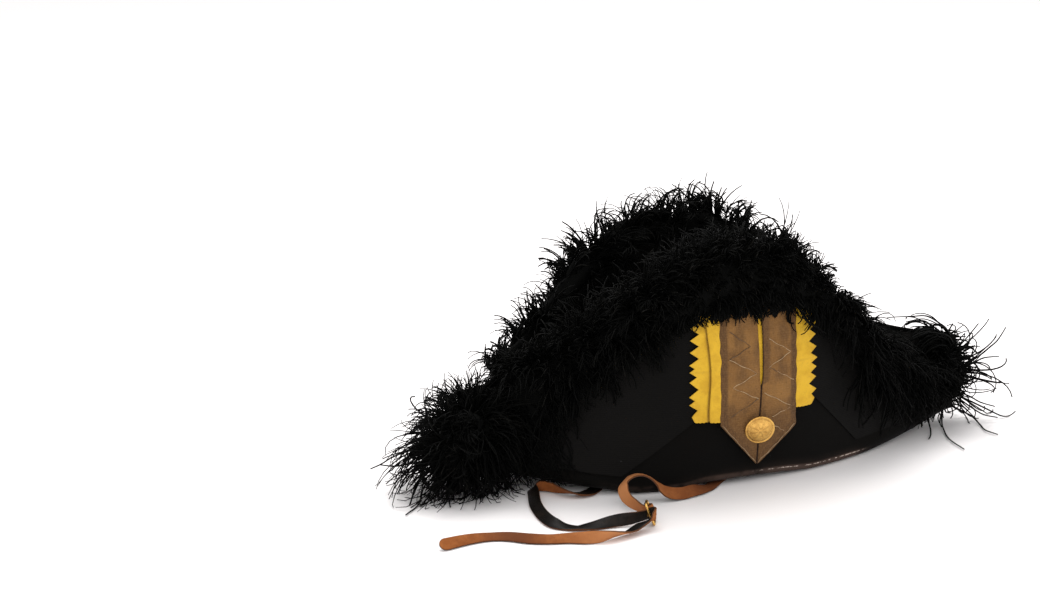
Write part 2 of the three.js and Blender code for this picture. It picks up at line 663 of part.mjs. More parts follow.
// Round pin between two depths of the buckle's frame, lying on the side where the long strap comes in
function pinGeometry(radius, from, to) {
  const side = BUCKLE.wire + BUCKLE.prong + SEAM_GAP;
  const pin = new THREE.CylinderGeometry(radius, radius, from - to, 8);
  pin.translate(-side, (from + to) / 2, 0);
  return pin;
}
const wrapDepth = BUCKLE.deep / 2 - BUCKLE.wire - STRAP_THICK - 3 * SEAM_GAP;
const prongGeometry = pinGeometry(BUCKLE.prong, wrapDepth, -BUCKLE.deep / 2 - BUCKLE.wire);

function buckleFrameGeometry() {
  const { tall, deep, wire } = BUCKLE;
  const half = { y: deep / 2, z: tall / 2 };
  const corner = 0.82;
  const points = [
    [half.y, 0],
    [half.y, half.z * corner],
    [half.y * corner, half.z],
    [-half.y * corner, half.z],
    [-half.y, half.z * corner],
    [-half.y, -half.z * corner],
    [-half.y * corner, -half.z],
    [half.y * corner, -half.z],
    [half.y, -half.z * corner],
  ].map(([y, z]) => new THREE.Vector3(0, y, z));
  const sides = 8;
  const rings = points.map((point, i) => {
    const ahead = points[(i + 1) % points.length];
    const behind = points[(i + points.length - 1) % points.length];
    const run = ahead.clone().sub(behind).normalize();
    const across = new THREE.Vector3(1, 0, 0);
    const out = run.clone().cross(across);
    return spread(0, 2 * Math.PI, sides)
      .slice(0, -1)
      .map((turn) =>
        point
          .clone()
          .addScaledVector(across, wire * Math.cos(turn))
          .addScaledVector(out, wire * Math.sin(turn)),
      );
  });
  const triangles = rings.flatMap((_, i) => {
    const next = (i + 1) % rings.length;
    return spread(0, sides - 1, sides - 1).flatMap((k) => {
      const beside = (k + 1) % sides;
      return quad(i * sides + k, i * sides + beside, next * sides + beside, next * sides + k);
    });
  });
  return geometryOf(rings.flat(), triangles);
}

// Assembly

const FINISH = {
  felt: { color: 0x171615, roughness: 0.95, metalness: 0 },
  braid: { color: 0x242322, roughness: 0.6, metalness: 0 },
  silk: { color: 0xb9872f, roughness: 0.55, metalness: 0 },
  lace: { color: 0x6a5130, roughness: 0.5, metalness: 0.4 },
  gilt: { color: 0xb8933f, roughness: 0.3, metalness: 1 },
  feather: { color: 0x100f10, roughness: 0.8, metalness: 0 },
  leather: { color: 0xa07848, roughness: 0.6, metalness: 0 },
};

const hat = new THREE.Group();
function addPiece(name, geometry, finish) {
  const mesh = new THREE.Mesh(geometry, new THREE.MeshStandardMaterial(FINISH[finish]));
  mesh.name = name;
  hat.add(mesh);
  return mesh;
}

addPiece("crown", crownGeometry(), "felt");
addPiece("wing_right", wingGeometry, "felt");
addPiece("wing_left", mirrored(wingGeometry), "felt");
addPiece("braid_right", braidGeometry(), "braid");
addPiece("silk_cockade", silkGeometry(), "silk");
addPiece("lace_loop", laceGeometry(), "lace");

const button = addPiece("button", buttonGeometry(), "gilt");
const seat = onWall(cockadeMiddle(COCKADE.button), COCKADE.button);
const seatSide = onWall(seat.x + 1, seat.z).sub(seat);
const seatRise = onWall(seat.x, seat.z + 1).sub(seat);
const seatNormal = seatSide.cross(seatRise).normalize();
button.position.copy(seat).addScaledVector(seatNormal, BUTTON_LIFT);
button.quaternion.setFromUnitVectors(new THREE.Vector3(0, 1, 0), seatNormal);

// Room that feathers leave round the brim, the cockade and each other
const brimRoom = (stations, rows, lift) =>
  solidOf(sheetSolid(stations, rows, brimFace, -FELT - FEATHER_GAP, lift + FEATHER_GAP));
const flipped = (solid) => solidOf(mirrored(mainBody(solid)));
const without = (solid, rooms) => rooms.reduce((rest, room) => rest.subtract(room), solid);
// The room runs a little past the brim's ends, keel and upper edge
const pastEnd = HAT_END + 1;
const pastKeel = -0.05;
const aboveTop = 3.005;

const endStations = [-pastEnd, ...brimStations, pastEnd];
const endRows = [pastKeel, ...brimRows.slice(1, -1), aboveTop];
const endRooms = [
  brimRoom(endStations, endRows, BRAID_LIFT + BRAID_THICK),
  flipped(brimRoom(endStations, endRows, 0)),
];
const tufts = [TUFTS.front, TUFTS.back].map((tuft) => without(tuftSolid(tuft), endRooms));
const tuftRooms = [TUFTS.front, TUFTS.back].map((tuft) => tuftSolid({ ...tuft, swell: FEATHER_GAP }));

const cockadeFace = (place, height) => onWall(cockadeMiddle(height) + place, height);
const cockadeReach = spread(-COCKADE.silkLeft - FEATHER_GAP, COCKADE.silkRight + FEATHER_GAP, 6);
const cockadeHeights = spread(COCKADE.silkFoot - FEATHER_GAP, COCKADE.top + FEATHER_GAP, 3);
const cockadeTop = LACE_LIFT + LACE_THICK + FEATHER_GAP;
const cockadeRoom = solidOf(sheetSolid(cockadeReach, cockadeHeights, cockadeFace, 0, cockadeTop));

// One wing's edging on the cockade side of the hat's middle plane
const edgeRows = [...brimRows.filter((s) => s >= 2 && s < 3), aboveTop];
function edgeSide(side, seed, lift) {
  const whole = joined([edgeRoll(side), ...edgeLocks(side, seed)]);
  return whole.subtract(brimRoom(brimStations, edgeRows, lift)).trimByPlane([0, -1, 0], FEATHER_GAP / 2);
}
const rightEdge = edgeSide("right", 2, BRAID_LIFT + BRAID_THICK);
const leftEdge = flipped(edgeSide("left", 31, 0));
addPiece("feather_edge_right", mainBody(without(rightEdge, [cockadeRoom, ...tuftRooms])), "feather");
addPiece("feather_edge_left", mainBody(without(leftEdge, tuftRooms)), "feather");
addPiece("tuft_front", mainBody(tufts[0]), "feather");
addPiece("tuft_back", mainBody(tufts[1]), "feather");

const prongHole = pinGeometry(BUCKLE.hole, BUCKLE.deep / 4, -BUCKLE.deep / 3);
prongHole.rotateY(BUCKLE_TILT);
prongHole.rotateZ(BUCKLE_TURN);
prongHole.translate(BUCKLE.x, BUCKLE.y, BUCKLE.z);
addPiece("strap_long", mainBody(solidOf(strapGeometry(LONG_STRAP)).subtract(solidOf(prongHole))), "leather");
addPiece("strap_short", strapGeometry(SHORT_STRAP), "leather");
for (const [name, geometry] of [
  ["buckle_frame", buckleFrameGeometry()],
  ["buckle_prong", prongGeometry],
]) {
  const piece = addPiece(name, geometry, "gilt");
  piece.position.set(BUCKLE.x, BUCKLE.y, BUCKLE.z);
  piece.rotation.set(0, BUCKLE_TILT, BUCKLE_TURN, "ZYX");
}

export default hat;
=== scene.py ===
import math
import bpy
import numpy as np
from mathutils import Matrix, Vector


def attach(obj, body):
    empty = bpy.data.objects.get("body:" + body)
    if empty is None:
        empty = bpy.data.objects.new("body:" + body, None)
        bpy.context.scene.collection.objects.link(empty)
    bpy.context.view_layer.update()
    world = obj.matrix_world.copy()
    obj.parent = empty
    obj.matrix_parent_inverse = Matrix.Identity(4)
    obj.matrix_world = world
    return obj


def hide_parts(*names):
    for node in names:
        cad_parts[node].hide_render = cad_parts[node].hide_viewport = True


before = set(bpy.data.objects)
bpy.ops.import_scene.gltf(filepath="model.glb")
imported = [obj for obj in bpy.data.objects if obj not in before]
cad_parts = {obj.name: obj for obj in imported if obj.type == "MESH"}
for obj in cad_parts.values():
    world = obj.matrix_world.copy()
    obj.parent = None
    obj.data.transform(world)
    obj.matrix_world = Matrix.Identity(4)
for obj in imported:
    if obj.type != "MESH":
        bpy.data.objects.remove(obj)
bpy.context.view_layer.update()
scene = bpy.context.scene
mm = 0.001
print("frame: %d solids" % len(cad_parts))

# Camera at the photograph's angle

cameraView = {"place": (-0.8180, -1.6054, 0.6029), "turn": 21.786, "tilt": -14.776, "lens": 78.265,
              "sensor": 36}


def makeCamera():
    data = bpy.data.cameras.new("viewCamera")
    data.lens = cameraView["lens"]
    data.sensor_width = cameraView["sensor"]
    turn, tilt = math.radians(cameraView["turn"]), math.radians(cameraView["tilt"])
    ahead = Vector((math.sin(turn) * math.cos(tilt), math.cos(turn) * math.cos(tilt), math.sin(tilt)))
    camera = bpy.data.objects.new("viewCamera", data)
    camera.location = cameraView["place"]
    camera.rotation_euler = ahead.to_track_quat("-Z", "Y").to_euler()
    scene.collection.objects.link(camera)
    scene.camera = camera


makeCamera()
print("camera set")

# Small helpers for arrays and meshes


def mix(a, b, share):
    return a + (b - a) * share


def ramp(low, high, value):
    # 0 below low, 1 above high, a smooth step between
    share = np.clip((value - low) / (high - low), 0, 1)
    return share * share * (3 - 2 * share)


def unit(vectors):
    return vectors / np.maximum(np.linalg.norm(vectors, axis=-1, keepdims=True), 1e-9)


def tableCurve(places, values):
    # a curve through table rows with no overshoot: each slope is the harmonic mean of its two chords
    places, values = np.array(places, float), np.array(values, float)
    chord = np.diff(values) / np.diff(places)
    before, after = np.concatenate([chord[:1], chord]), np.concatenate([chord, chord[-1:]])
    alike = before * after > 0
    slope = np.where(alike, 2 * before * after / np.where(alike, before + after, 1), 0)

    def at(place):
        place = np.asarray(place, float)
        k = np.clip(np.searchsorted(places, place, side="right") - 1, 0, len(places) - 2)
        width = places[k + 1] - places[k]
        t = (place - places[k]) / width
        bend = values[k] + (values[k + 1] - values[k]) * t * t * (3 - 2 * t)
        return bend + width * (slope[k] * t * (1 - t) ** 2 - slope[k + 1] * t * t * (1 - t))

    return at


def wander(points, size, seed):
    # smooth noise: six sine waves in seeded directions, between about -1 and 1
    seeded = np.random.default_rng(seed)
    ways = seeded.normal(0, 1, (6, 3)) * 2.4 / size
    phases = seeded.uniform(0, 6.28, 6)
    return np.sin(np.asarray(points) @ ways.T + phases).sum(-1) / 3


def gridQuads(rows, columns, closed=False):
    index = np.arange(rows * columns).reshape(rows, columns)
    if closed:
        index = np.concatenate([index, index[:, :1]], 1)
    return np.stack([index[:-1, :-1], index[1:, :-1], index[1:, 1:], index[:-1, 1:]], -1).reshape(-1, 4)


def closedGrid(grid):
    # rings of points as one closed form: quads between the rings, and a cap on the first and the last
    rows, sides = grid.shape[:2]
    caps = np.stack([np.arange(sides), np.arange(sides)[::-1] + (rows - 1) * sides])
    return grid.reshape(-1, 3), gridQuads(rows, sides, True), caps


def tubesAlong(path, girth, sideways, sides=3, looped=False):
    # tubes on many paths at once, one path to a row: rings stand across it, their first spoke along sideways
    run = unit(np.roll(path, -1, 1) - np.roll(path, 1, 1) if looped else np.gradient(path, axis=1))
    side = np.broadcast_to(sideways[:, None, :], path.shape)
    side = unit(side - (side * run).sum(-1, keepdims=True) * run)
    other = np.cross(run, side)
    turn = np.arange(sides) * 2 * math.pi / sides
    spokes = np.cos(turn)[:, None] * side[:, :, None] + np.sin(turn)[:, None] * other[:, :, None]
    points = path[:, :, None] + girth[..., None, None] * spokes
    index = np.arange(points.size // 3).reshape(points.shape[:3])
    beside = np.roll(index, -1, 2)
    quads = np.stack([index, np.roll(index, -1, 1), np.roll(beside, -1, 1), beside], -1)
    if not looped:
        quads = quads[:, :-1]
    return points.reshape(-1, 3), quads.reshape(-1, 4), np.concatenate([index[:, 0], index[:, -1, ::-1]])


def oneTube(path, girth, sideways, sides, looped=False):
    girth = np.broadcast_to(np.asarray(girth, float), (1, len(path)))
    return tubesAlong(path[None], girth, np.array([sideways], float), sides, looped)


def outward(points, faceSets):
    # all faces, turned round where their signed volume is negative
    volume = 0.0
    for faces in faceSets:
        corner = points[faces]
        for k in range(1, faces.shape[1] - 1):
            volume += np.einsum("ij,ij->", corner[:, 0], np.cross(corner[:, k], corner[:, k + 1]))
    return [faces[:, ::-1] for faces in faceSets] if volume < 0 else faceSets


def joined(lots):
    # lots of points, each with its face sets, as one; faces with the same number of corners go together
    points, sets, start = [], {}, 0
    for lot, *faceSets in lots:
        points.append(lot)
        for faces in faceSets:
            sets.setdefault(faces.shape[1], []).append(faces + start)
        start += len(lot)
    return np.concatenate(points), [np.concatenate(faces) for faces in sets.values()]


def gridNormals(face):
    # cross product of the grid's two central differences
    return unit(np.cross(np.gradient(face, axis=0), np.gradient(face, axis=1)))


def sheetShell(face, normal, low, high):
    # a closed sheet between two lifts of one grid along its normals, with a rim all round
    rows, columns = face.shape[:2]
    count = rows * columns
    top = face + normal * np.broadcast_to(high, face.shape[:2])[..., None]
    base = face + normal * np.broadcast_to(low, face.shape[:2])[..., None]
    points = np.concatenate([top.reshape(-1, 3), base.reshape(-1, 3)])
    quads = gridQuads(rows, columns)
    index = np.arange(count).reshape(rows, columns)
    ring = np.concatenate([index[0, :], index[1:, -1], index[-1, -2::-1], index[-2:0:-1, 0]])
    nextOne = np.roll(ring, -1)
    rim = np.stack([ring, nextOne, nextOne + count, ring + count], -1)
    return points, *outward(points, [np.concatenate([quads, quads[:, ::-1] + count, rim])])


def newPiece(name, points, faceSets, uv=None, values=None, sharp=40):
    # millimetre points to a mesh in metres; edges over the angle sharp stay sharp, or none where it is 0
    points = np.asarray(points, float).reshape(-1, 3) * mm
    faceSets = outward(points, faceSets)
    loops = np.concatenate([faces.ravel() for faces in faceSets]).astype(np.int32)
    sizes = np.concatenate([np.full(len(faces), faces.shape[1]) for faces in faceSets])
    mesh = bpy.data.meshes.new(name)
    mesh.vertices.add(len(points))
    mesh.vertices.foreach_set("co", points.astype(np.float32).ravel())
    mesh.loops.add(len(loops))
    mesh.loops.foreach_set("vertex_index", loops)
    mesh.polygons.add(len(sizes))
    mesh.polygons.foreach_set("loop_start", (np.cumsum(sizes) - sizes).astype(np.int32))
    mesh.polygons.foreach_set("use_smooth", np.ones(len(sizes), bool))
    mesh.update(calc_edges=True)
    if sharp:
        mesh.set_sharp_from_angle(angle=math.radians(sharp))
    if uv is not None:
        layer = mesh.uv_layers.new(name="UVMap")
        layer.data.foreach_set("uv", np.asarray(uv, np.float32).reshape(-1, 2)[loops].ravel())
    for key, value in (values or {}).items():
        layer = mesh.attributes.new(key, "FLOAT", "POINT")
        layer.data.foreach_set("value", np.asarray(value, np.float32).ravel())
    mesh.validate()
    piece = bpy.data.objects.new(name, mesh)
    scene.collection.objects.link(piece)
    return piece


def dress(piece, material, slot, *nodes):
    # a finished piece: its material, its body and the solids that it stands for, which are hidden; slot is
    # not used
    piece.data.materials.append(material)
    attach(piece, "root")
    if nodes:
        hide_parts(*nodes)
    return piece


# Shader helpers and the groups that several finishes share


def addNode(tree, kind, props=None, **sockets):
    made = tree.nodes.new("ShaderNode" + kind)
    for key, value in (props or {}).items():
        setattr(made, key, value)
    for key, value in sockets.items():
        target = made.inputs[key.replace("_", " ")]
        if isinstance(value, bpy.types.NodeSocket):
            tree.links.new(value, target)
        else:
            target.default_value = value
    return made


def calc(tree, how, a, b=0.5, clamp=False):
    made = tree.nodes.new("ShaderNodeMath")
    made.operation = how
    made.use_clamp = clamp
    for k, value in enumerate((a, b)):
        if isinstance(value, bpy.types.NodeSocket):
            tree.links.new(value, made.inputs[k])
        else:
            made.inputs[k].default_value = value
    return made.outputs[0]


def times(tree, a, b, clamp=False):
    return calc(tree, "MULTIPLY", a, b, clamp)


def band(tree, value, low, high, toLow=0.0, toHigh=1.0):
    made = addNode(tree, "MapRange", {"interpolation_type": "SMOOTHSTEP"}, Value=value)
    for key, number in (("From Min", low), ("From Max", high), ("To Min", toLow), ("To Max", toHigh)):
        made.inputs[key].default_value = number
    return made.outputs[0]


def window(tree, value, low, full, past, high):
    # 1 from full to past, and 0 below low and above high
    return times(tree, band(tree, value, low, full), band(tree, value, past, high, 1.0, 0.0))


def blendColour(tree, factor, a, b):
    made = tree.nodes.new("ShaderNodeMix")
    made.data_type = "RGBA"
    for k, value in ((0, factor), (6, a), (7, b)):
        if isinstance(value, bpy.types.NodeSocket):
            tree.links.new(value, made.inputs[k])
        else:
            made.inputs[k].default_value = value if k == 0 else (*value, 1)
    return made.outputs[2]


def layered(tree, look, base, *layers):
    # a look's base colour with its other colours laid over it in turn, each by a mask
    colour = look[base]
    for mask, key in layers:
        colour = blendColour(tree, mask, colour, look[key])
    return colour


def noise(tree, vector, scale, detail=4.0, rough=0.55):
    made = addNode(tree, "TexNoise", None, Vector=vector, Scale=scale, Detail=detail, Roughness=rough)
    return made.outputs[0]


def newGroup(name, outputs, **inputs):
    # a node group that takes a vector and some numbers, given with their defaults, and puts out numbers
    tree = bpy.data.node_groups.new(name, "ShaderNodeTree")
    tree.interface.new_socket("Vector", in_out="INPUT", socket_type="NodeSocketVector")
    for key, value in inputs.items():
        key = key.replace("_", " ")
        socket = tree.interface.new_socket(key, in_out="INPUT", socket_type="NodeSocketFloat")
        socket.default_value = value
    for key in outputs:
        tree.interface.new_socket(key, in_out="OUTPUT", socket_type="NodeSocketFloat")
    return tree, tree.nodes.new("NodeGroupInput").outputs, tree.nodes.new("NodeGroupOutput").inputs


def makeNapGroup():
    # Height: fine fibres over soft lumps. Lint: rare pale specks. Blotch: slow unevenness
    tree, given, out = newGroup("nap", ("Height", "Lint", "Blotch"), Fine=900.0, Coarse=45.0)
    fine = noise(tree, given["Vector"], given["Fine"], 3.0, 0.7)
    coarse = noise(tree, given["Vector"], given["Coarse"], 3.0)
    cells = addNode(tree, "TexVoronoi", None, Vector=given["Vector"], Scale=150.0)
    chosen = addNode(tree, "SeparateColor", None, Color=cells.outputs["Color"]).outputs[0]
    speck = band(tree, cells.outputs["Distance"], 0.05, 0.1, 1.0, 0.0)
    slow = noise(tree, given["Vector"], times(tree, given["Coarse"], 0.4), 4.0)
    tree.links.new(calc(tree, "ADD", times(tree, fine, 0.6), times(tree, coarse, 0.8)), out["Height"])
    tree.links.new(times(tree, speck, band(tree, chosen, 0.975, 0.98)), out["Lint"])
    tree.links.new(band(tree, slow, 0.35, 0.7), out["Blotch"])
    return tree


def makeWeaveGroup():
    # Height: cords across and along a UV. Broken: the same cords worn through in places
    tree, given, out = newGroup("weave", ("Height", "Broken"), Across=40.0, Along=120.0)
    part = addNode(tree, "SeparateXYZ", None, Vector=given["Vector"])
    wobble = times(tree, noise(tree, given["Vector"], 9.0, 2.0), 0.6)
    cords = []
    for k, key, share in ((0, "Across", 0.55), (1, "Along", 0.45)):
        phase = times(tree, part.outputs[k], times(tree, given[key], 6.2832))
        wave = calc(tree, "SINE", calc(tree, "ADD", phase, wobble))
        cords.append(times(tree, calc(tree, "ABSOLUTE", wave), share))
    plait = calc(tree, "ADD", *cords)
    worn = noise(tree, given["Vector"], 30.0, 5.0, 0.7)
    tree.links.new(plait, out["Height"])
    tree.links.new(times(tree, plait, band(tree, worn, 0.4, 0.62), True), out["Broken"])
    return tree


def makeAgeGroup():
    # Stain: large soft blotches. Fleck: small spots of tarnish or dirt
    tree, given, out = newGroup("ageing", ("Stain", "Fleck"), Size=60.0, Fleck_Size=500.0)
    stain = noise(tree, given["Vector"], given["Size"], 5.0, 0.6)
    fleck = noise(tree, given["Vector"], given["Fleck Size"], 3.0, 0.7)
    tree.links.new(band(tree, stain, 0.38, 0.68), out["Stain"])
    tree.links.new(band(tree, fleck, 0.52, 0.72), out["Fleck"])
    return tree


napGroup, weaveGroup, ageGroup = makeNapGroup(), makeWeaveGroup(), makeAgeGroup()


def newFinish(name, **settings):
    material = bpy.data.materials.new(name)
    material.use_nodes = True
    tree = material.node_tree
    shader = tree.nodes["Principled BSDF"]
    for key, value in settings.items():
        shader.inputs[key.replace("_", " ")].default_value = value
    place = tree.nodes.new("ShaderNodeTexCoord")
    return material, tree, shader, place.outputs["Object"], place.outputs["UV"]


def useGroup(tree, group, vector, **values):
    made = tree.nodes.new("ShaderNodeGroup")
    made.node_tree = group
    tree.links.new(vector, made.inputs["Vector"])
    for key, value in values.items():
        made.inputs[key.replace("_", " ")].default_value = value
    return made.outputs


def attribute(tree, name):
    return addNode(tree, "Attribute", {"attribute_name": name}).outputs["Fac"]


def feed(tree, shader, colour=None, rough=None, height=None, strength=0.3, distance=0.001):
    if colour is not None:
        tree.links.new(colour, shader.inputs["Base Color"])
    if rough is not None:
        tree.links.new(rough, shader.inputs["Roughness"])
    if height is not None:
        bump = addNode(tree, "Bump", None, Height=height, Strength=strength, Distance=distance)
        tree.links.new(bump.outputs[0], shader.inputs["Normal"])


# the fold's brown colours are partly rubbing wear and partly painted light bounced up from the floor onto the
# fold
feltLook = {
    "black": (0.0023, 0.0021, 0.0018), "faded": (0.0043, 0.0037, 0.0032), "foldWearAndBounceLight": (0.052, 0.034, 0.027),
    "lint": (0.035, 0.035, 0.037), "wearAndPaintedLight": (0.075, 0.050, 0.041), "thread": (0.56, 0.47, 0.41),
}


def makeFelt():
    # black felt, brown along the fold where it is rubbed and where painted light stands in for light bounced
    # up from the floor, with a thin pale broken line along the fold
    material, tree, shader, place, uv = newFinish(
        "blackFelt", Roughness=0.92, Specular_IOR_Level=0.06, Sheen_Weight=0.025, Sheen_Roughness=0.45,
    )
    nap = useGroup(tree, napGroup, place, Fine=1500.0, Coarse=60.0)
    part = addNode(tree, "SeparateXYZ", None, Vector=uv)
    along, around = part.outputs[0], times(tree, part.outputs[1], 3.0)
    fold = window(tree, around, 1.05, 1.35, 1.78, 2.05)
    front = window(tree, along, 0.47, 0.53, 0.69, 0.735)
    patches = band(tree, noise(tree, place, 70.0, 4.0), 0.3, 0.62)
    # painted light: the fold's brown, laid by this mask and by the front mask below, is partly rubbing wear
    # and partly painted floor-bounced light
    wearAndPaintedLight = times(tree, times(tree, fold, patches), window(tree, along, 0.2, 0.33, 0.69, 0.75))
    breaks = band(tree, noise(tree, place, 300.0, 4.0, 0.7), 0.47, 0.58)
    line = times(tree, window(tree, around, 1.77, 1.80, 1.84, 1.87), breaks)
    colour = layered(
        tree, feltLook, "black", (times(tree, nap["Blotch"], 0.6), "faded"), (wearAndPaintedLight, "foldWearAndBounceLight"),
        (times(tree, times(tree, front, fold), 0.75), "wearAndPaintedLight"), (times(tree, line, front), "thread"),
        (nap["Lint"], "lint"),
    )
    feed(tree, shader, colour, band(tree, nap["Blotch"], 0.0, 1.0, 0.84, 0.97), nap["Height"], 0.45, 0.0006)
    return material


braidLook = {
    "dark": (0.0027, 0.0025, 0.0023), "ribSheen": (0.0062, 0.0056, 0.0051), "deep": (0.0022, 0.0020, 0.0018),
    "lint": feltLook["lint"],
}


def makeBraid():
    # ribbed black silk: ribs run up the wing, with painted sheen on their crowns and a soft worn unevenness
    material, tree, shader, place, uv = newFinish(
        "blackBraid", Roughness=0.7, Specular_IOR_Level=0.06, Sheen_Weight=0.01, Sheen_Roughness=0.4,
    )
    ribs = useGroup(tree, weaveGroup, uv, Across=330.0, Along=160.0)["Height"]
    nap = useGroup(tree, napGroup, place, Fine=1100.0, Coarse=55.0)
    # painted sheen: the lighter colour lies on the crowns of the ribs
    colour = layered(
        tree, braidLook, "dark", (times(tree, ribs, 0.6), "ribSheen"), (times(tree, nap["Blotch"], 0.4), "deep"),
        (nap["Lint"], "lint"),
    )
    feed(tree, shader, colour, band(tree, ribs, 0.0, 1.0, 0.82, 0.6), ribs, 0.35, 0.0004)
    return material


silkLook = {
    "bright": (0.665, 0.395, 0.021), "deep": (0.47, 0.25, 0.013), "stain": (0.30, 0.155, 0.02),
    "crease": (0.15, 0.072, 0.012), "rib": (0.86, 0.6, 0.10),
}


def makeSilk():
    # yellow silk ribbon: fine cross ribs with painted sheen on their crowns, faded and stained in patches;
    # the shade attribute lays painted shade along the pleat, the crease and the inner edge under the lace,
    # and darkens the cut edge
    material, tree, shader, place, uv = newFinish(
        "yellowSilk", Roughness=0.55, Specular_IOR_Level=0.15, Sheen_Weight=0.08, Sheen_Roughness=0.35,
        Sheen_Tint=(1, 0.85, 0.5, 1),
    )
    ribs = useGroup(tree, weaveGroup, uv, Across=60.0, Along=150.0)["Height"]
    age = useGroup(tree, ageGroup, place, Size=75.0, Fleck_Size=420.0)
    # the crease colour is painted shade, laid by the shade attribute; the rib colour is painted sheen on the
    # rib crowns
    colour = layered(
        tree, silkLook, "bright", (times(tree, age["Stain"], 0.65), "deep"),
        (times(tree, age["Fleck"], 0.25), "stain"), (times(tree, attribute(tree, "shade"), 0.85), "crease"),
        (times(tree, ribs, 0.12), "rib"),
    )
    feed(tree, shader, colour, band(tree, age["Stain"], 0.0, 1.0, 0.48, 0.62), ribs, 0.25, 0.0003)
    return material


laceLook = {
    "gold": (0.198, 0.097, 0.030), "dull": (0.138, 0.069, 0.025), "border": (0.080, 0.041, 0.0185),
    "glint": (0.31, 0.17, 0.065), "glow": (0.30, 0.152, 0.044), "seamAndShadow": (0.014, 0.007, 0.005),
    "fleck": (0.070, 0.035, 0.017),
}


def makeLace():
    # tarnished gold lace: fine upright cords, darker borders and a darker lower part, a dark seam with
    # painted shadow beside and along the slit, worn and glinting threads
    material, tree, shader, place, uv = newFinish(
        "goldLace", Roughness=0.5, Specular_IOR_Level=0.09, Metallic=0.1,
    )
    cords = useGroup(tree, weaveGroup, uv, Across=30.0, Along=26.0)
    age = useGroup(tree, ageGroup, place, Size=85.0, Fleck_Size=620.0)
    colour = layered(
        tree, laceLook, "gold", (age["Stain"], "dull"),
        (band(tree, noise(tree, place, 42.0, 2.0), 0.48, 0.68, 0.0, 0.55), "glow"),
        (band(tree, noise(tree, uv, 2.6, 3.0), 0.48, 0.66, 0.0, 0.6), "border"),
        # the border attribute also darkens the lower part and lays painted shadow beside the slit; the seam
        # colour also lays painted shadow along the slit
        (times(tree, attribute(tree, "border"), 0.85), "border"),
        (times(tree, age["Fleck"], 0.35), "fleck"), (times(tree, cords["Broken"], 0.3), "glint"),
        (attribute(tree, "seamAndShadow"), "seamAndShadow"),
    )
    feed(tree, shader, colour, band(tree, age["Fleck"], 0.0, 1.0, 0.42, 0.62), cords["Height"], 0.45, 0.0005)
    return material


threadLook = {"pale": (0.44, 0.31, 0.175), "tarnished": (0.27, 0.165, 0.085), "dark": (0.066, 0.032, 0.015)}


def makeThread():
    # pale metal thread with tarnished stretches; some runs are dark all along
    material, tree, shader, place, _ = newFinish(
        "paleThread", Roughness=0.42, Specular_IOR_Level=0.3, Metallic=0.25,
    )
    age = useGroup(tree, ageGroup, place, Size=160.0, Fleck_Size=900.0)
    colour = layered(tree, threadLook, "pale", (age["Stain"], "tarnished"), (attribute(tree, "dark"), "dark"))
    feed(tree, shader, colour, None, noise(tree, place, 2400.0), 0.5, 0.0003)
    return material


giltLook = {"bright": (0.78, 0.46, 0.120), "worn": (0.52, 0.26, 0.060), "patinaAndShade": (0.115, 0.052, 0.015)}


def makeGilt():
    # worn gilt brass: dark in the hollows, rubbed bright on the heights; the same attribute lays painted
    # shade on the button's lower left side
    material, tree, shader, place, _ = newFinish("wornGilt", Roughness=0.34, Metallic=0.95)
    age = useGroup(tree, ageGroup, place, Size=260.0, Fleck_Size=1500.0)
    colour = layered(
        tree, giltLook, "bright", (times(tree, age["Stain"], 0.6), "worn"),
        (times(tree, attribute(tree, "patinaAndShade"), 0.8), "patinaAndShade"),
    )
    pits = noise(tree, place, 1800.0)
    feed(tree, shader, colour, band(tree, age["Fleck"], 0.0, 1.0, 0.26, 0.46), pits, 0.12, 0.0003)
    return material


leatherLook = {
    "tan": (0.228, 0.068, 0.0155), "pale": (0.305, 0.102, 0.026), "litTan": (0.50, 0.212, 0.082),
    "brown": (0.095, 0.029, 0.011), "edge": (0.105, 0.036, 0.013), "black": (0.0048, 0.0036, 0.0029),
    "scuff": (0.018, 0.0118, 0.0088),
}


def makeLeather():
    # undyed flesh side and black grain side of one strap; the cut edges are dyed dark; painted light makes
    # the flesh side lighter on lit stretches, and painted shade darkens it where the strap runs under the hat
    material, tree, shader, place, _ = newFinish("strapLeather", Roughness=0.6, Specular_IOR_Level=0.13)
    age = useGroup(tree, ageGroup, place, Size=95.0, Fleck_Size=520.0)
    flesh = attribute(tree, "flesh")
    tan = layered(
        tree, leatherLook, "tan", (age["Stain"], "pale"), (times(tree, age["Fleck"], 0.4), "brown"),
        # painted light on lit stretches such as the short strap's raised arch; painted shade where the strap
        # runs under the hat
        (times(tree, attribute(tree, "litTan"), 0.8), "litTan"),
        (times(tree, attribute(tree, "wearAndPaintedLight"), 0.85), "brown"),
        (band(tree, flesh, 0.5, 0.95, 0.8, 0.0), "edge"),
    )
    grain = layered(tree, leatherLook, "black", (band(tree, age["Stain"], 0.2, 1.0, 0.0, 0.6), "scuff"))
    side = band(tree, flesh, 0.35, 0.6)
    cells = addNode(tree, "TexVoronoi", {"feature": "DISTANCE_TO_EDGE"}, Vector=place, Scale=900.0)
    cracks = times(tree, band(tree, cells.outputs["Distance"], 0.0, 0.12), 0.4)
    height = calc(tree, "ADD", cracks, noise(tree, place, 1300.0, 4.0, 0.7))
    colour = blendColour(tree, side, grain, tan)
    feed(tree, shader, colour, band(tree, side, 0.0, 1.0, 0.42, 0.78), height, 0.3, 0.0004)
    return material


featherLook = {"black": (0.0016, 0.0017, 0.0015), "worn": (0.0105, 0.0098, 0.0083)}


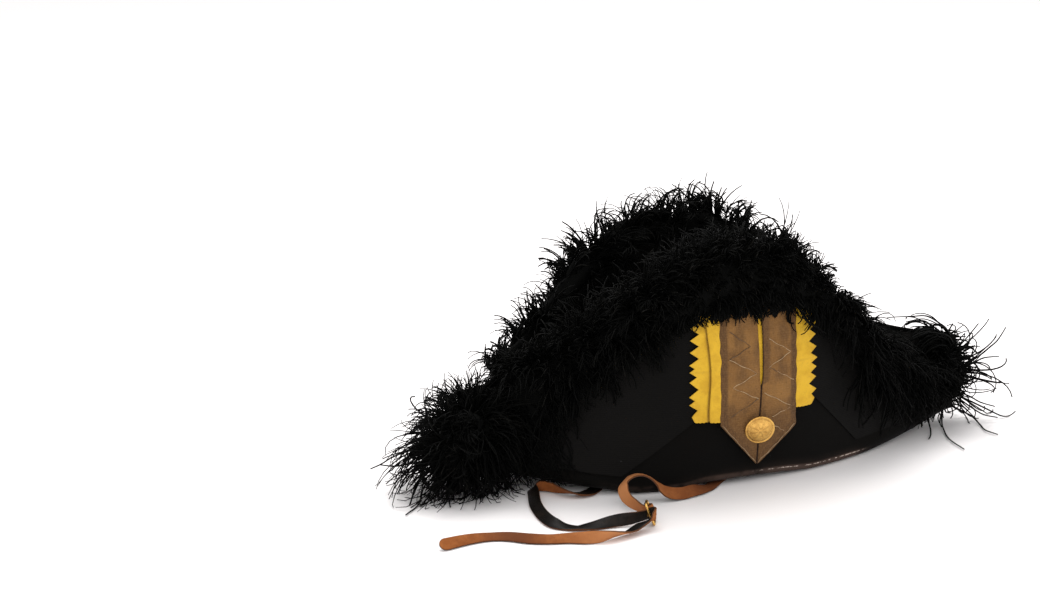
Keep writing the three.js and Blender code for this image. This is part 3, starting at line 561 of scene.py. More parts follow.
def makeFeather():
    # black ostrich barbs: tone differs from barb to barb, and worn ones go brown
    material, tree, shader, place, _ = newFinish("blackFeather", Roughness=0.62, Specular_IOR_Level=0.05)
    tone = attribute(tree, "tone")
    fibre = noise(tree, place, 700.0, 2.0)
    worn = times(tree, band(tree, tone, 0.62, 1.0), band(tree, fibre, 0.3, 0.7), True)
    colour = layered(tree, featherLook, "black", (worn, "worn"))
    feed(tree, shader, colour, band(tree, tone, 0.0, 1.0, 0.72, 0.5), fibre, 0.3, 0.0003)
    return material


felt, braidSilk, yellowSilk, goldLace = makeFelt(), makeBraid(), makeSilk(), makeLace()
paleThread, gilt, leather, plume = makeThread(), makeGilt(), makeLeather(), makeFeather()
print("finishes made")

# Chin strap: two flat straps laid out on the surface, joined at a buckle

strap = {"width": 9.8, "step": 0.9, "tipRows": 9, "longLength": 0.578, "shortLength": 0.2}
longRoute = [
    (-14, 62, 12, 90), (-18, 56, 4.5, 90), (-44, 32, 1.3, 90), (-92, -4, 1.3, 90), (-119, -35, 1.3, 90),
    (-132, -52.5, 1.4, 92), (-142.5, -62.5, 2.1, 96), (-152, -65.5, 3.2, 82), (-161, -61, 4.8, 58),
    (-168, -51.5, 5.5, 26), (-175, -43.5, 5.8, 12), (-182.5, -43.5, 4.7, 50), (-185.2, -50.8, 3.5, 68),
    (-193.7, -76.7, 3.2, 66), (-197.7, -102.7, 3.6, 56), (-196.3, -119.2, 3.5, 58),
    (-189.3, -126, 1.6, 84), (-181.5, -130.8, 1.6, 97), (-168.5, -133, 2.5, 72),
    (-153.7, -135.1, 4.8, 42), (-138.6, -139.2, 6.8, -8), (-128.2, -139.6, 8.2, -24),
    (-125.2, -141.4, 9.7, -22), (-124.1, -144.4, 10.4, 0), (-125.8, -148.3, 10.5, 4),
    (-129.6, -149.9, 8.8, 38), (-133.6, -151.2, 7.1, 66), (-139.4, -152.6, 5.8, 80),
    (-146, -155.4, 4.3, 80), (-152.8, -158, 3.4, 70), (-163.7, -161, 4.5, 48), (-175, -162.7, 5.2, 12),
    (-186.5, -159.5, 4.6, -38), (-198.9, -152.5, 3.4, -60), (-211, -148.7, 3, -66),
    (-225.3, -142.4, 3.3, -62), (-237.8, -131.7, 2.8, -68), (-250, -126.2, 2.4, -73),
    (-263.6, -126.2, 3.1, -64), (-277.4, -129.3, 3.8, -54), (-287.1, -132.2, 4.2, -46),
    (-293.1, -132.7, 4.2, -46),
]
shortRoute = [
    (-16, -54, 13, -90), (-19, -58, 5, -90), (-27, -65, 1.3, -90), (-38, -75, 1.3, -90),
    (-48, -84.5, 1.6, -86), (-57, -90.5, 3.2, -66), (-68, -96, 5, -40), (-80, -99.5, 5.4, -20),
    (-89, -99.5, 6.8, -36), (-94.8, -97.5, 9.6, -66), (-99.2, -95.5, 14.2, -90), (-105, -94, 19.6, -96),
    (-112.8, -93, 22.8, -102), (-121.5, -92.6, 21.4, -106), (-127.6, -94.4, 16.2, -122),
    (-130, -102, 11.8, -146), (-129.4, -112, 9.4, -172), (-127.6, -122, 8.8, -192),
    (-126.6, -129.5, 8.4, -200), (-124.8, -133.3, 8.3, -202), (-125.2, -135.4, 8.5, -198),
    (-124.1, -136.9, 9.2, -180), (-122.4, -136.9, 9.7, -164), (-120.8, -135.4, 10, -158),
    (-121.5, -131.6, 9.2, -160), (-123.4, -127.6, 8.6, -162),
]
# the strap's section from the flesh side round one edge to the grain side: across, depth
strapSection = np.array([
    (4.35, 0.78), (1.5, 0.8), (-1.5, 0.8), (-4.35, 0.78), (-4.78, 0.5), (-4.9, 0.0), (-4.78, -0.5),
    (-4.35, -0.78), (-1.5, -0.8), (1.5, -0.8), (4.35, -0.78), (4.78, -0.5), (4.9, 0.0), (4.78, 0.5),
])


def routeCurve(route, perSpan=24):
    # centripetal spline through the rows: each tangent weighs chords by the root of their length
    rows = np.array(route, float)
    p = rows[:, :3]
    p = np.concatenate([[2 * p[0] - p[1]], p, [2 * p[-1] - p[-2]]])
    gap = np.sqrt(np.linalg.norm(np.diff(p, axis=0), axis=1))[:, None]
    before, here, after = gap[:-2], gap[1:-1], gap[2:]
    x0, x1, x2, x3 = p[:-3], p[1:-2], p[2:-1], p[3:]
    t1 = ((x1 - x0) / before - (x2 - x0) / (before + here) + (x2 - x1) / here) * here
    t2 = ((x2 - x1) / here - (x3 - x1) / (here + after) + (x3 - x2) / after) * here
    t = np.arange(perSpan)[:, None, None] / perSpan
    path = x1 + t1 * t + (-3 * x1 + 3 * x2 - 2 * t1 - t2) * t ** 2 + (2 * x1 - 2 * x2 + t1 + t2) * t ** 3
    path = np.concatenate([path.transpose(1, 0, 2).reshape(-1, 3), p[-2:-1]])
    lean = np.interp(np.arange(len(path)) / perSpan, np.arange(len(rows)), rows[:, 3])
    return path, lean


def makeStrap(name, route, roundTip, darkenedSpans, litSpans):
    # the section carried along the route, turned about it by the lean; the tip narrows in a half circle
    path, lean = routeCurve(route)
    run = np.concatenate([[0], np.cumsum(np.linalg.norm(np.diff(path, axis=0), axis=1))])
    length = run[-1]
    tip = strap["width"] / 2
    stations = np.arange(0, length - tip, strap["step"])
    rounding = np.sin(np.linspace(0.02, 1, strap["tipRows"]) * math.pi / 2)
    stations = np.concatenate([stations, length - tip + tip * rounding])
    middle = np.stack([np.interp(stations, run, path[:, k]) for k in range(3)], -1)
    lean = np.radians(np.interp(stations, run, lean))[:, None]
    ahead = unit(np.gradient(middle, stations, axis=0))
    left = unit(np.cross((0.0, 0.0, 1.0), ahead))
    rise = np.cross(ahead, left)
    wide = np.cos(lean) * rise + np.sin(lean) * left
    face = np.cos(lean) * left - np.sin(lean) * rise
    narrow = np.ones(len(stations))
    if roundTip:
        narrow = np.sqrt(np.clip(1 - (np.clip(stations - length + tip, 0, tip) / tip) ** 2, 0.004, 1))
    across, depth = strapSection[:, 0], strapSection[:, 1]
    spread = (across[None, :] * narrow[:, None])[..., None]
    points = middle[:, None] + wide[:, None] * spread + face[:, None] * depth[None, :, None]
    rows, sides = points.shape[:2]
    flesh = np.broadcast_to(np.where(depth > 0.7, 1.0, np.where(depth > -0.7, 0.5, 0.0)), (rows, sides))
    uv = np.stack(np.broadcast_arrays(stations[:, None] * mm, across[None, :] * mm), -1)
    values = {"flesh": flesh}
    # darkened spans: painted shade where the strap runs under the hat, and a darker stretch near the long
    # strap's end; lit spans: painted light
    for key, spans in (("wearAndPaintedLight", darkenedSpans), ("litTan", litSpans)):
        worn = np.zeros(rows)
        for low, high in spans:
            off = (stations / length - (low + high) / 2) / (high - low)
            worn = np.maximum(worn, np.exp(-off ** 2 * 3))
        values[key] = np.repeat(worn, sides)
    points, *faces = closedGrid(points)
    piece = newPiece(name, points, faces, uv, values)
    return piece, np.concatenate([middle[:-strap["tipRows"]:6], middle[-1:]]) * mm


# the first darkened span of each strap is painted shade under the hat; the lit spans are painted light, the
# short strap's on its raised arch
longStrap, longPath = makeStrap("strapLong", longRoute, True, [(0.0, 0.3), (0.86, 0.93)], [(0.72, 0.8)])
shortStrap, shortPath = makeStrap("strapShort", shortRoute, False, [(0.0, 0.42)], [(0.58, 0.86)])
dress(longStrap, leather, "leather", "strap_long")
dress(shortStrap, leather, "leather", "strap_short")

buckle = {
    "place": (-125.5, -139.6, 9.2), "deep": 11, "tall": 17, "wire": 0.95, "corner": 1.6, "tilt": -22.5,
    "turn": -27, "prong": 0.7, "prongSpan": (2.05, -6.45),
}


def onBuckle(points):
    # from upright at the origin: leans about its depth, turns about the upright and goes to its place
    tilt, turn = math.radians(buckle["tilt"]), math.radians(buckle["turn"])
    lean = np.array([[math.cos(tilt), 0, math.sin(tilt)], [0, 1, 0], [-math.sin(tilt), 0, math.cos(tilt)]])
    about = np.array([[math.cos(turn), -math.sin(turn), 0], [math.sin(turn), math.cos(turn), 0], [0, 0, 1]])
    return points @ lean.T @ about.T + np.array(buckle["place"])


def makeBuckle():
    # frame: a wire round a rectangle with round corners. prong: a wire that thins to a rounded point
    turn = np.linspace(0, 2 * math.pi, 73)[:-1]
    way = np.stack([np.cos(turn), np.sin(turn)], -1)
    half = np.array([buckle["deep"], buckle["tall"]]) / 2 - buckle["corner"]
    outline = way * buckle["corner"] + np.where(way > 0, 1, -1) * half
    path = np.concatenate([np.zeros((len(turn), 1)), outline], 1)
    points, quads, _ = oneTube(path, buckle["wire"], (1, 0, 0), 12, True)
    points = onBuckle(points)
    patinaAndShade = np.clip(wander(points, 5, 3) * 0.4 + 0.15, 0, 0.6)
    bow = newPiece("buckleFrame", points, [quads], None, {"patinaAndShade": patinaAndShade})
    share = np.linspace(0, 1, 16)
    side = buckle["wire"] + buckle["prong"] + 0.3
    path = np.stack([-side - 0.2 * np.sin(share * math.pi), mix(*buckle["prongSpan"], share), 0 * share], -1)
    girth = buckle["prong"] * np.sqrt(np.clip(1.02 - share ** 6, 0.05, 1))
    points, *faces = oneTube(path, girth, (0, 0, 1), 10)
    pin = newPiece("bucklePin", onBuckle(points), faces, None, {"patinaAndShade": np.full(len(points), 0.1)})
    return bow, pin


buckleFrame, bucklePin = makeBuckle()
dress(buckleFrame, gilt, "gilt", "buckle_frame")
dress(bucklePin, gilt, "gilt", "buckle_prong")
print("straps and buckle made")

# Brim: two wings of felt, turned up from a sole round the head

wing = {"tip": 226, "felt": 2.4, "fold": 8, "land": 7, "swell": 3, "dents": 0.55}
wingRows = np.array([
    (-226, 20, 20, 5, 4, 76), (-200, 14, 15, 25, 7, 80), (-170, 9, 11.5, 48.5, 19, 90),
    (-136, 5, 7.5, 69, 38, 110), (-104, 0, 5, 79, 53, 134), (-74, 0, 1.2, 83.3, 62, 151),
    (-50, 3.5, 3.7, 85, 66, 161), (-14, 3.8, 3.9, 84.2, 69, 167), (20, 2.6, 3, 81.5, 67, 164),
    (52, 0, 1.2, 76, 61, 150), (76, 0, 2.5, 69.5, 53, 134), (104, 0, 5, 60, 41, 115),
    (136, 2, 6, 47.5, 25, 99), (170, 5, 7.5, 32, 12, 88), (200, 8, 9, 17, 6, 82),
    (226, 11, 11, 4.8, 4, 78),
])
foot, sole, out, topOut, topHeight = [tableCurve(wingRows[:, 0], wingRows[:, k]) for k in range(1, 6)]
uvSpan = 480  # millimetres along the hat to one unit of its UV
head = {"middle": -12, "length": 200, "width": 144, "edge": 4.5, "clear": 1}


def foldRadius(x):
    return np.minimum(wing["fold"], out(x) - 0.5)


def openingOut(x):
    share = np.clip((x - head["middle"]) / (head["length"] / 2), -1, 1)
    return np.maximum(head["width"] / 2 * np.sqrt(1 - share * share), 0.15)


def wallOut(x, height):
    # half width of a wing's outer face: straight from fold to top with a slight swell
    low = foot(x) + foldRadius(x)
    share = (height - low) / (topHeight(x) - low)
    swell = wing["swell"] * 4 * share * (1 - share) * (1 - (x / wing["tip"]) ** 2)
    return mix(out(x), topOut(x), share) + swell


def feltDents(x, height, side=1):
    # slow unevenness of the felt, which the layers on it share
    slow = wander(np.stack([x, height, side * 31.0 + 0 * x], -1), 58, 5 + (side > 0))
    return wing["dents"] * slow * ramp(wing["tip"], 150, np.abs(x))


def onWall(x, height):
    x, height = np.broadcast_arrays(np.asarray(x, float), np.asarray(height, float))
    return np.stack([x, -wallOut(x, height) - feltDents(x, height), height], -1)


def brimFace(x, s):
    # outer face: s from 0 to 1 over the sole, to 2 round the fold, to 3 up the wall
    radius, base = foldRadius(x), foot(x)
    start = out(x) - radius
    inner = openingOut(x)
    land = np.maximum(mix(inner, start, 0.5), start - wing["land"])
    soleOut = np.where(s > 0.5, mix(land, start, 2 * s - 1), mix(inner, land, 2 * s))
    soleUp = np.where(s > 0.5, base, mix(sole(x), base, 2 * s))
    turn = (np.clip(s, 1, 2) - 1) * math.pi / 2
    height = mix(base + radius, topHeight(x), s - 2)
    y = np.where(
        s <= 1, soleOut,
        np.where(s <= 2, start + radius * np.sin(turn), wallOut(x, np.maximum(height, base + radius))),
    )
    z = np.where(s <= 1, soleUp, np.where(s <= 2, base + radius * (1 - np.cos(turn)), height))
    return np.stack([x, -y, z], -1)


def makeWing(name, side):
    # the brim's face as a grid of stations and rows, dented on the wall; the felt's thickness lies inside
    opening = head["middle"] - head["length"] / 2 * np.cos(np.linspace(0, math.pi, 71))
    behind, before = np.linspace(-wing["tip"], opening[0], 26), np.linspace(opening[-1], wing["tip"], 31)
    stations = np.concatenate([behind[:-1], opening, before[1:]])
    rows = np.concatenate([np.linspace(0, 1, 9)[:-1], np.linspace(1, 2, 11)[:-1], np.linspace(2, 3, 34)])
    x, s = np.meshgrid(stations, rows, indexing="ij")
    face = brimFace(x, s)
    normal = gridNormals(face)
    face = face + normal * (feltDents(x, face[..., 2], side) * ramp(1.6, 2.2, s))[..., None]
    thin = wing["felt"] * mix(1, 0.72, ramp(2.97, 3.0, s))
    points, quads = sheetShell(face, normal, -thin, 0.0)
    points[:, 1] *= side
    uv = np.stack([x / uvSpan + (0.5 if side > 0 else -1.5), s / 3], -1).reshape(-1, 2)
    return newPiece(name, points, [quads], np.concatenate([uv, uv]))


dress(makeWing("wingRight", 1), felt, "felt", "wing_right")
dress(makeWing("wingLeft", -1), felt, "felt", "wing_left")

crown = {
    "rise": (0, 28, 58, 82, 100, 112, 119, 122), "long": (1, 0.99, 0.965, 0.92, 0.83, 0.68, 0.46, 0.2),
    "wide": (1, 0.98, 0.945, 0.885, 0.78, 0.62, 0.42, 0.18), "peak": 122.6,
}


def makeCrown():
    # a dome of oval rings over the head opening, and the same rings inside it by the felt's thickness
    longShare, wideShare = [tableCurve(crown["rise"], crown[key]) for key in ("long", "wide")]
    rises = np.concatenate([np.linspace(0, 100, 26), np.linspace(102, crown["rise"][-1], 22)])
    turn = np.linspace(0, 2 * math.pi, 73)[:-1]

    def rings(inset):
        length = longShare(rises) * (head["length"] / 2 - head["clear"]) - inset
        width = wideShare(rises) * (head["width"] / 2 - head["clear"]) - inset
        height = head["edge"] + np.maximum(rises - np.where(rises > 0, inset, 0), 0.5)
        along = head["middle"] + length[:, None] * np.cos(turn)
        return np.stack(np.broadcast_arrays(along, width[:, None] * np.sin(turn), height[:, None]), -1)

    outer, inner = rings(0.0), rings(wing["felt"])[::-1]
    grid = np.concatenate([outer, inner])
    rows, sides = grid.shape[:2]
    half, count = len(outer), rows * sides
    quads = gridQuads(rows, sides, True).reshape(rows - 1, sides, 4)
    quads = np.concatenate([quads[:half - 1], quads[half:]]).reshape(-1, 4)
    ring = np.arange(sides)
    first, top, low, last = ring, ring + (half - 1) * sides, ring + half * sides, ring + (rows - 1) * sides
    rim = np.stack([last, first, np.roll(first, -1), np.roll(last, -1)], -1)
    peak = head["edge"] + crown["peak"]
    fanTop = np.stack([top, np.full(sides, count), np.roll(top, -1)], -1)
    fanLow = np.stack([low, np.roll(low, -1), np.full(sides, count + 1)], -1)
    peaks = [(head["middle"], 0, peak), (head["middle"], 0, peak - wing["felt"])]
    points = np.concatenate([grid.reshape(-1, 3), peaks])
    dents = 0.5 * wander(points, 45, 8) * ramp(20, 60, points[:, 2])
    points = points + unit(points - (head["middle"], 0, 40)) * dents[:, None]
    uv = np.stack([points[:, 0] / uvSpan + 0.5, 0.85 + points[:, 2] / 2000], -1)
    faces = [np.concatenate([quads, rim]), np.concatenate([fanTop, fanLow])]
    return newPiece("crownDome", points, faces, uv)


dress(makeCrown(), felt, "felt", "crown")
print("felt made")

# Layers on the cockade wing

braid = {
    "lift": 0.8, "thick": 0.7, "edgeX": (-204, -170, -120, 8, 96, 150, 204),
    "edgeUp": (34, 22, 16, 103, 17, 18, 32), "inset": 2,
}


def makeBraidPiece():
    # a ribbon over the wing from a lower edge in the shape of an inverted V up to the wing's edge
    x = np.sort(np.concatenate([np.linspace(-204, 204, 205), braid["edgeX"]]))
    low = np.maximum(np.interp(x, braid["edgeX"], braid["edgeUp"]), foot(x) + foldRadius(x) + 1)
    share = np.linspace(0, 1, 28) ** 1.15
    x, share = np.meshgrid(x, share, indexing="ij")
    height = mix(low[:, None], topHeight(x) - braid["inset"], share)
    face = onWall(x, height)
    points, quads = sheetShell(face, gridNormals(face), braid["lift"], braid["lift"] + braid["thick"])
    uv = np.stack([x / uvSpan + 0.5, height / uvSpan], -1).reshape(-1, 2)
    return newPiece("braidRight", points, [quads], np.concatenate([uv, uv]))


braidRight = dress(makeBraidPiece(), braidSilk, "braid", "braid_right")

cockade = {
    "centre": -4.5, "lean": 0.02, "top": 148, "laceLeft": 36, "laceRight": 32.5, "laceCorner": 51.5,
    "rightCorner": 44.4, "lacePoint": 16.5, "pointPlace": -3.7, "slitTop": 2.3, "slitFoot": 1.15,
    "slitEnd": 79, "button": 46.0, "silkFoot": 57,
}


def cockadeMiddle(height):
    return cockade["centre"] + cockade["lean"] * (height - cockade["laceCorner"])


def onCockade(place, height):
    return onWall(cockadeMiddle(height) + place, height)


silk = {
    "lift": 2.0, "thick": 0.7, "toothDepth": 6.6, "pleat": 1.1, "curl": 1.2, "crease": 94.5,
    "leftTips": (61, 69.7, 76, 87.8, 95.7, 101.1, 111.3, 120.6, 130, 139, 148),
    "rightTips": (63.2, 69.7, 79.5, 87.6, 94.9, 103.7, 113.3, 123, 132, 141, 149),
}


def silkPly(side, inner, reach, footUp, lift, tips, seed, cornerCut, shadow=None):
    # a ply from an inner line to an outer line: place runs across, height up
    # the outer line is cut in a V between each two tips
    # shadow is the line of the ply above it, along which painted shadow darkens this ply
    toothed = len(tips) > 0
    rows, bite = np.linspace(footUp, cockade["top"], 60), np.zeros(60)
    if toothed:
        corners = np.sort(np.concatenate([tips, (np.array(tips[1:]) + np.array(tips[:-1])) / 2]))
        bites = np.zeros(len(corners))
        bites[1::2] = silk["toothDepth"] * np.clip(np.diff(tips) / 9, 0.62, 1.08)
        rows = np.unique(np.concatenate([rows, corners[corners < cockade["top"]]]))
        bite = np.interp(rows, corners, bites)
    edge = reach(rows) - bite
    edge = edge - cornerCut * ramp(footUp + 13, footUp - 2, rows) ** 2
    columns = np.linspace(0, 1, 27)
    height, share = np.meshgrid(rows, columns, indexing="ij")
    place = mix(inner(height), edge[:, None], share)
    fringe = 0.9 * np.abs((place / 3.1) % 1 - 0.5) * ramp(footUp + 8, footUp, height)
    height = height - fringe - 1.4 * ramp(footUp + 10, footUp, height) * np.sin(share * 2.6)
    face = onCockade(side * place, height)
    crease = 0.9 * np.exp(-((height - silk["crease"] - 2 * share) / 2.0) ** 2)
    crease = crease - 0.5 * np.exp(-((height - silk["crease"] + 4.5) / 3.5) ** 2)
    waves = 0.5 * wander(np.stack([place, height, seed + 0 * place], -1), 16, seed)
    free = ramp(0.15, 1, share)
    curl = silk["curl"] * (0.5 + 0.5 * np.sin(height / 5.3 + seed))
    raised = lift + free * (curl + waves * 0.8 + crease * 0.7) * (1 if toothed else 0.35)
    raised = np.maximum(raised, lift - 0.3)
    normal = gridNormals(face)
    normal = normal * np.sign(-normal[..., 1:2])
    points, quads = sheetShell(face, normal, raised, raised + silk["thick"])
    # painted shade: darker along the inner edge under the lace and along the crease, darker at the cut edge,
    # and painted shadow under the ply above
    shade = ramp(0.93, 1.0, share) * 0.25 + ramp(0.16, 0.0, share) * 0.2
    shade = shade + 0.25 * np.exp(-((height - silk["crease"] + 0.3 - 2 * share) / 0.7) ** 2)
    if shadow is not None:
        shade = shade + 1.2 * np.exp(-((place - shadow(height) - 0.4) / 1.0) ** 2)
    uv = np.stack([place / 100, height / 100], -1).reshape(-1, 2)
    return points, quads, np.tile(uv, (2, 1)), np.tile(np.clip(shade, 0, 1).ravel(), 2)


def level(place):
    return lambda height: place + 0 * height


def makeSilkPiece():
    # the left tab has two plies with a pleat between them, the right tab one ply; both run under the lace
    pleatLine = tableCurve((50, 57, 93, 131, 150), (45.5, 45.5, 43.4, 46.4, 47))
    leftReach = tableCurve((50, 70, 95, 129, 150), (60, 61, 60.5, 59.3, 59))
    rightReach = tableCurve((50, 72, 93, 129, 150), (53, 53.2, 53.3, 54.3, 54.5))
    under, behind = level(26), lambda height: pleatLine(height) - 6
    low, lift = cockade["silkFoot"], silk["lift"]
    plies = [
        silkPly(-1, behind, leftReach, low, lift, silk["leftTips"], 4, 3.5, pleatLine),
        silkPly(-1, under, pleatLine, low - 1, lift + silk["pleat"] + 0.4, (), 6, 0.5),
        silkPly(1, under, rightReach, low + 2, lift + 0.3, silk["rightTips"], 9, 5.5),
        silkPly(1, level(-27), level(27), low, lift, (), 12, 0.0),
    ]
    points, faces = joined([ply[:2] for ply in plies])
    uv, shade = [np.concatenate([ply[k] for ply in plies]) for k in (2, 3)]
    return newPiece("silkCockade", points, faces, uv, {"shade": shade})


silkCockade = dress(makeSilkPiece(), yellowSilk, "silk", "silk_cockade")

lace = {"lift": 3.7, "thick": 1.0, "belly": 0.5, "border": 6.0}
seamPlace = tableCurve((16, 50, 80, 135, 148), (-3.7, -1.8, -0.3, -1.5, -1.8))


def makeLacePiece():
    # two ribbons side by side with a slit along the seam between them; both end on one pointed V
    slitFoot = (cockade["slitEnd"] - cockade["lacePoint"]) / (cockade["top"] - cockade["lacePoint"])
    shells, uvs, borders, seamShadows = [], [], [], []
    for side, wide in ((-1, cockade["laceLeft"]), (1, cockade["laceRight"])):
        share = np.concatenate([np.linspace(0, slitFoot, 44), np.linspace(slitFoot, 1, 91)[1:]])
        across = np.concatenate([[0, 0.012], np.linspace(0.03, 0.97, 30), [0.988, 1]])
        share, across = np.meshgrid(share, across, indexing="ij")
        upper = np.clip((share - slitFoot) / (1 - slitFoot), 0, 1)
        gap = 0.06 + ramp(slitFoot - 0.02, slitFoot + 0.06, share) * cockade["slitFoot"]
        gap = gap + upper * (cockade["slitTop"] - cockade["slitFoot"])
        inner = side * seamPlace(mix(cockade["lacePoint"], cockade["top"], share)) + gap
        ripple = 0.35 * np.sin(share * 46 + side) * ramp(0.8, 1, across)
        ripple = ripple + 0.3 * np.sin(share * 31) * ramp(0.2, 0, across)
        place = mix(inner, wide + ripple, across)
        low = np.interp(
            side * place, (-cockade["laceLeft"], cockade["pointPlace"], cockade["laceRight"]),
            (cockade["laceCorner"], cockade["lacePoint"], cockade["rightCorner"]),
        )
        height = mix(low, cockade["top"], share)
        face = onCockade(side * place, height)
        normal = gridNormals(face)
        normal = normal * np.sign(-normal[..., 1:2])
        edge = np.minimum(ramp(0, 0.05, across), ramp(1, 0.95, across))
        lumps = 0.22 * wander(np.stack([place, height, side * 9.0 + 0 * place], -1), 14, 21)
        ridge = sum(0.18 * np.exp(-((across - spot) / 0.03) ** 2) for spot in (0.83, 0.17))
        raised = lace["belly"] * (1 - (2 * across - 1) ** 2) + lumps + ridge
        high = lace["lift"] + lace["thick"] * mix(0.5, 1, edge) + raised
        shells.append(sheetShell(face, normal, lace["lift"], high))
        footGap = (height - low) * 0.72 + 99 * (share > 0.3)
        outer = np.minimum(wide - place, footGap)
        border = ramp(lace["border"] + 1.2, lace["border"] - 1.2, outer)
        # darker towards the bottom
        border = np.maximum(border, 0.8 * ramp(72, 40, height))
        inset = np.minimum((place - inner) * mix(1.0, 0.6, side > 0), wide - place)
        # painted shadow: a darker strip beside the slit on the right ribbon
        beside = 0.8 * ramp(4.2, 2.6, inset) * (side > 0) * (share > slitFoot)
        # the seam line where the two ribbons meet below the slit, and painted shadow along the right ribbon's
        # edge of the slit above it
        seamAndShadow = ramp(1.0, 0.3, place - inner) * np.where(share <= slitFoot, 1.0, 0.75 * (side > 0))
        uvs.append(np.tile(np.stack([place / 36, height / 100], -1).reshape(-1, 2), (2, 1)))
        borders.append(np.tile(np.maximum(border, beside).ravel(), 2))
        seamShadows.append(np.tile(seamAndShadow.ravel(), 2))
    points, faces = joined(shells)
    values = {"border": np.concatenate(borders), "seamAndShadow": np.concatenate(seamShadows)}
    return newPiece("laceLoop", points, faces, np.concatenate(uvs), values)


laceLoop = dress(makeLacePiece(), goldLace, "lace", "lace_loop")

# Pale threads on the lace, as place and height on the cockade: zigzags and the edge along the V
threads = {
    "zigzags": [
        [(-29.0, 104.2), (-4.6, 91.4), (-25.8, 81.7), (-3.0, 70.2)],
        [(6.7, 117.1), (27.4, 104.9), (6.5, 94.8)], [(14, 90.5), (30.0, 81.7)],
        [(2.4, 74.5), (28.5, 60.2), (10, 54.2)], [(12.4, 46.8), (21.4, 40.8)],
    ],
    "darkZigzags": [
        [(-28.5, 126.2), (-10.7, 113.5), (-29.0, 104.2)], [(-3.0, 70.2), (-27.5, 58.6)],
        [(6.5, 94.8), (14, 90.5)],
    ],
    "edges": [[(-34.8, 51.9), (-19.6, 35.2), (-4.4, 18.6)], [(31.4, 45.2), (14, 31.7), (-2.9, 18.6)]],
    "girths": {"zigzags": 0.34, "darkZigzags": 0.32, "edges": 0.4},
    "darkness": {"zigzags": 0.0, "darkZigzags": 0.85, "edges": 0.4},
}


def makeThreads():
    # round threads laid on the lace's face, slightly wavy, thinned where they are worn
    tubes, darks = [], []
    for key, girth in threads["girths"].items():
        for which, rows in enumerate(threads[key]):
            rows = np.array(rows, float)
            t = np.linspace(0, len(rows) - 1, 26 * (len(rows) - 1) + 1)
            place, height = [np.interp(t, np.arange(len(rows)), rows[:, k]) for k in (0, 1)]
            wide = np.where(place < 0, cockade["laceLeft"], cockade["laceRight"])
            belly = lace["belly"] * (1 - (2 * np.abs(place) / wide - 1) ** 2)
            path = onCockade(place, height + 0.35 * np.sin(t * 11 + which))
            path[:, 1] -= lace["lift"] + lace["thick"] + belly + 0.2 + 0.1 * np.sin(t * 23)
            worn = girth * (0.72 + 0.28 * np.clip(np.sin(t * 5.1 + which * 2.0) + 0.6, -0.9, 1))
            tubes.append(oneTube(path, worn, (0, -1, 0), 5))
            darks.append(np.full(len(tubes[-1][0]), threads["darkness"][key]))
    points, faces = joined(tubes)
    return newPiece("laceThreads", points, faces, None, {"dark": np.concatenate(darks)})


dress(makeThreads(), paleThread, "lace")

# the button's profile runs as share of the radius and rise: shank, back and rim, then the dome
button = {
    "radius": 12.3, "lift": 7.9, "petals": 8, "beads": 40, "yaw": 16, "droop": 17, "place": -3.9,
    "base": [
        (0.02, -3.4), (0.15, -3.4), (0.16, -0.2), (0.2, 0.0), (0.5, 0.0), (0.9, 0.0), (0.97, 0.25),
        (1.0, 0.9), (0.985, 1.45), (0.955, 1.75), (0.92, 1.8), (0.885, 1.68), (0.86, 1.55),
    ],
    "dome": [(0, 3.5), (0.3, 3.3), (0.6, 2.7), (0.85, 1.6)],
}


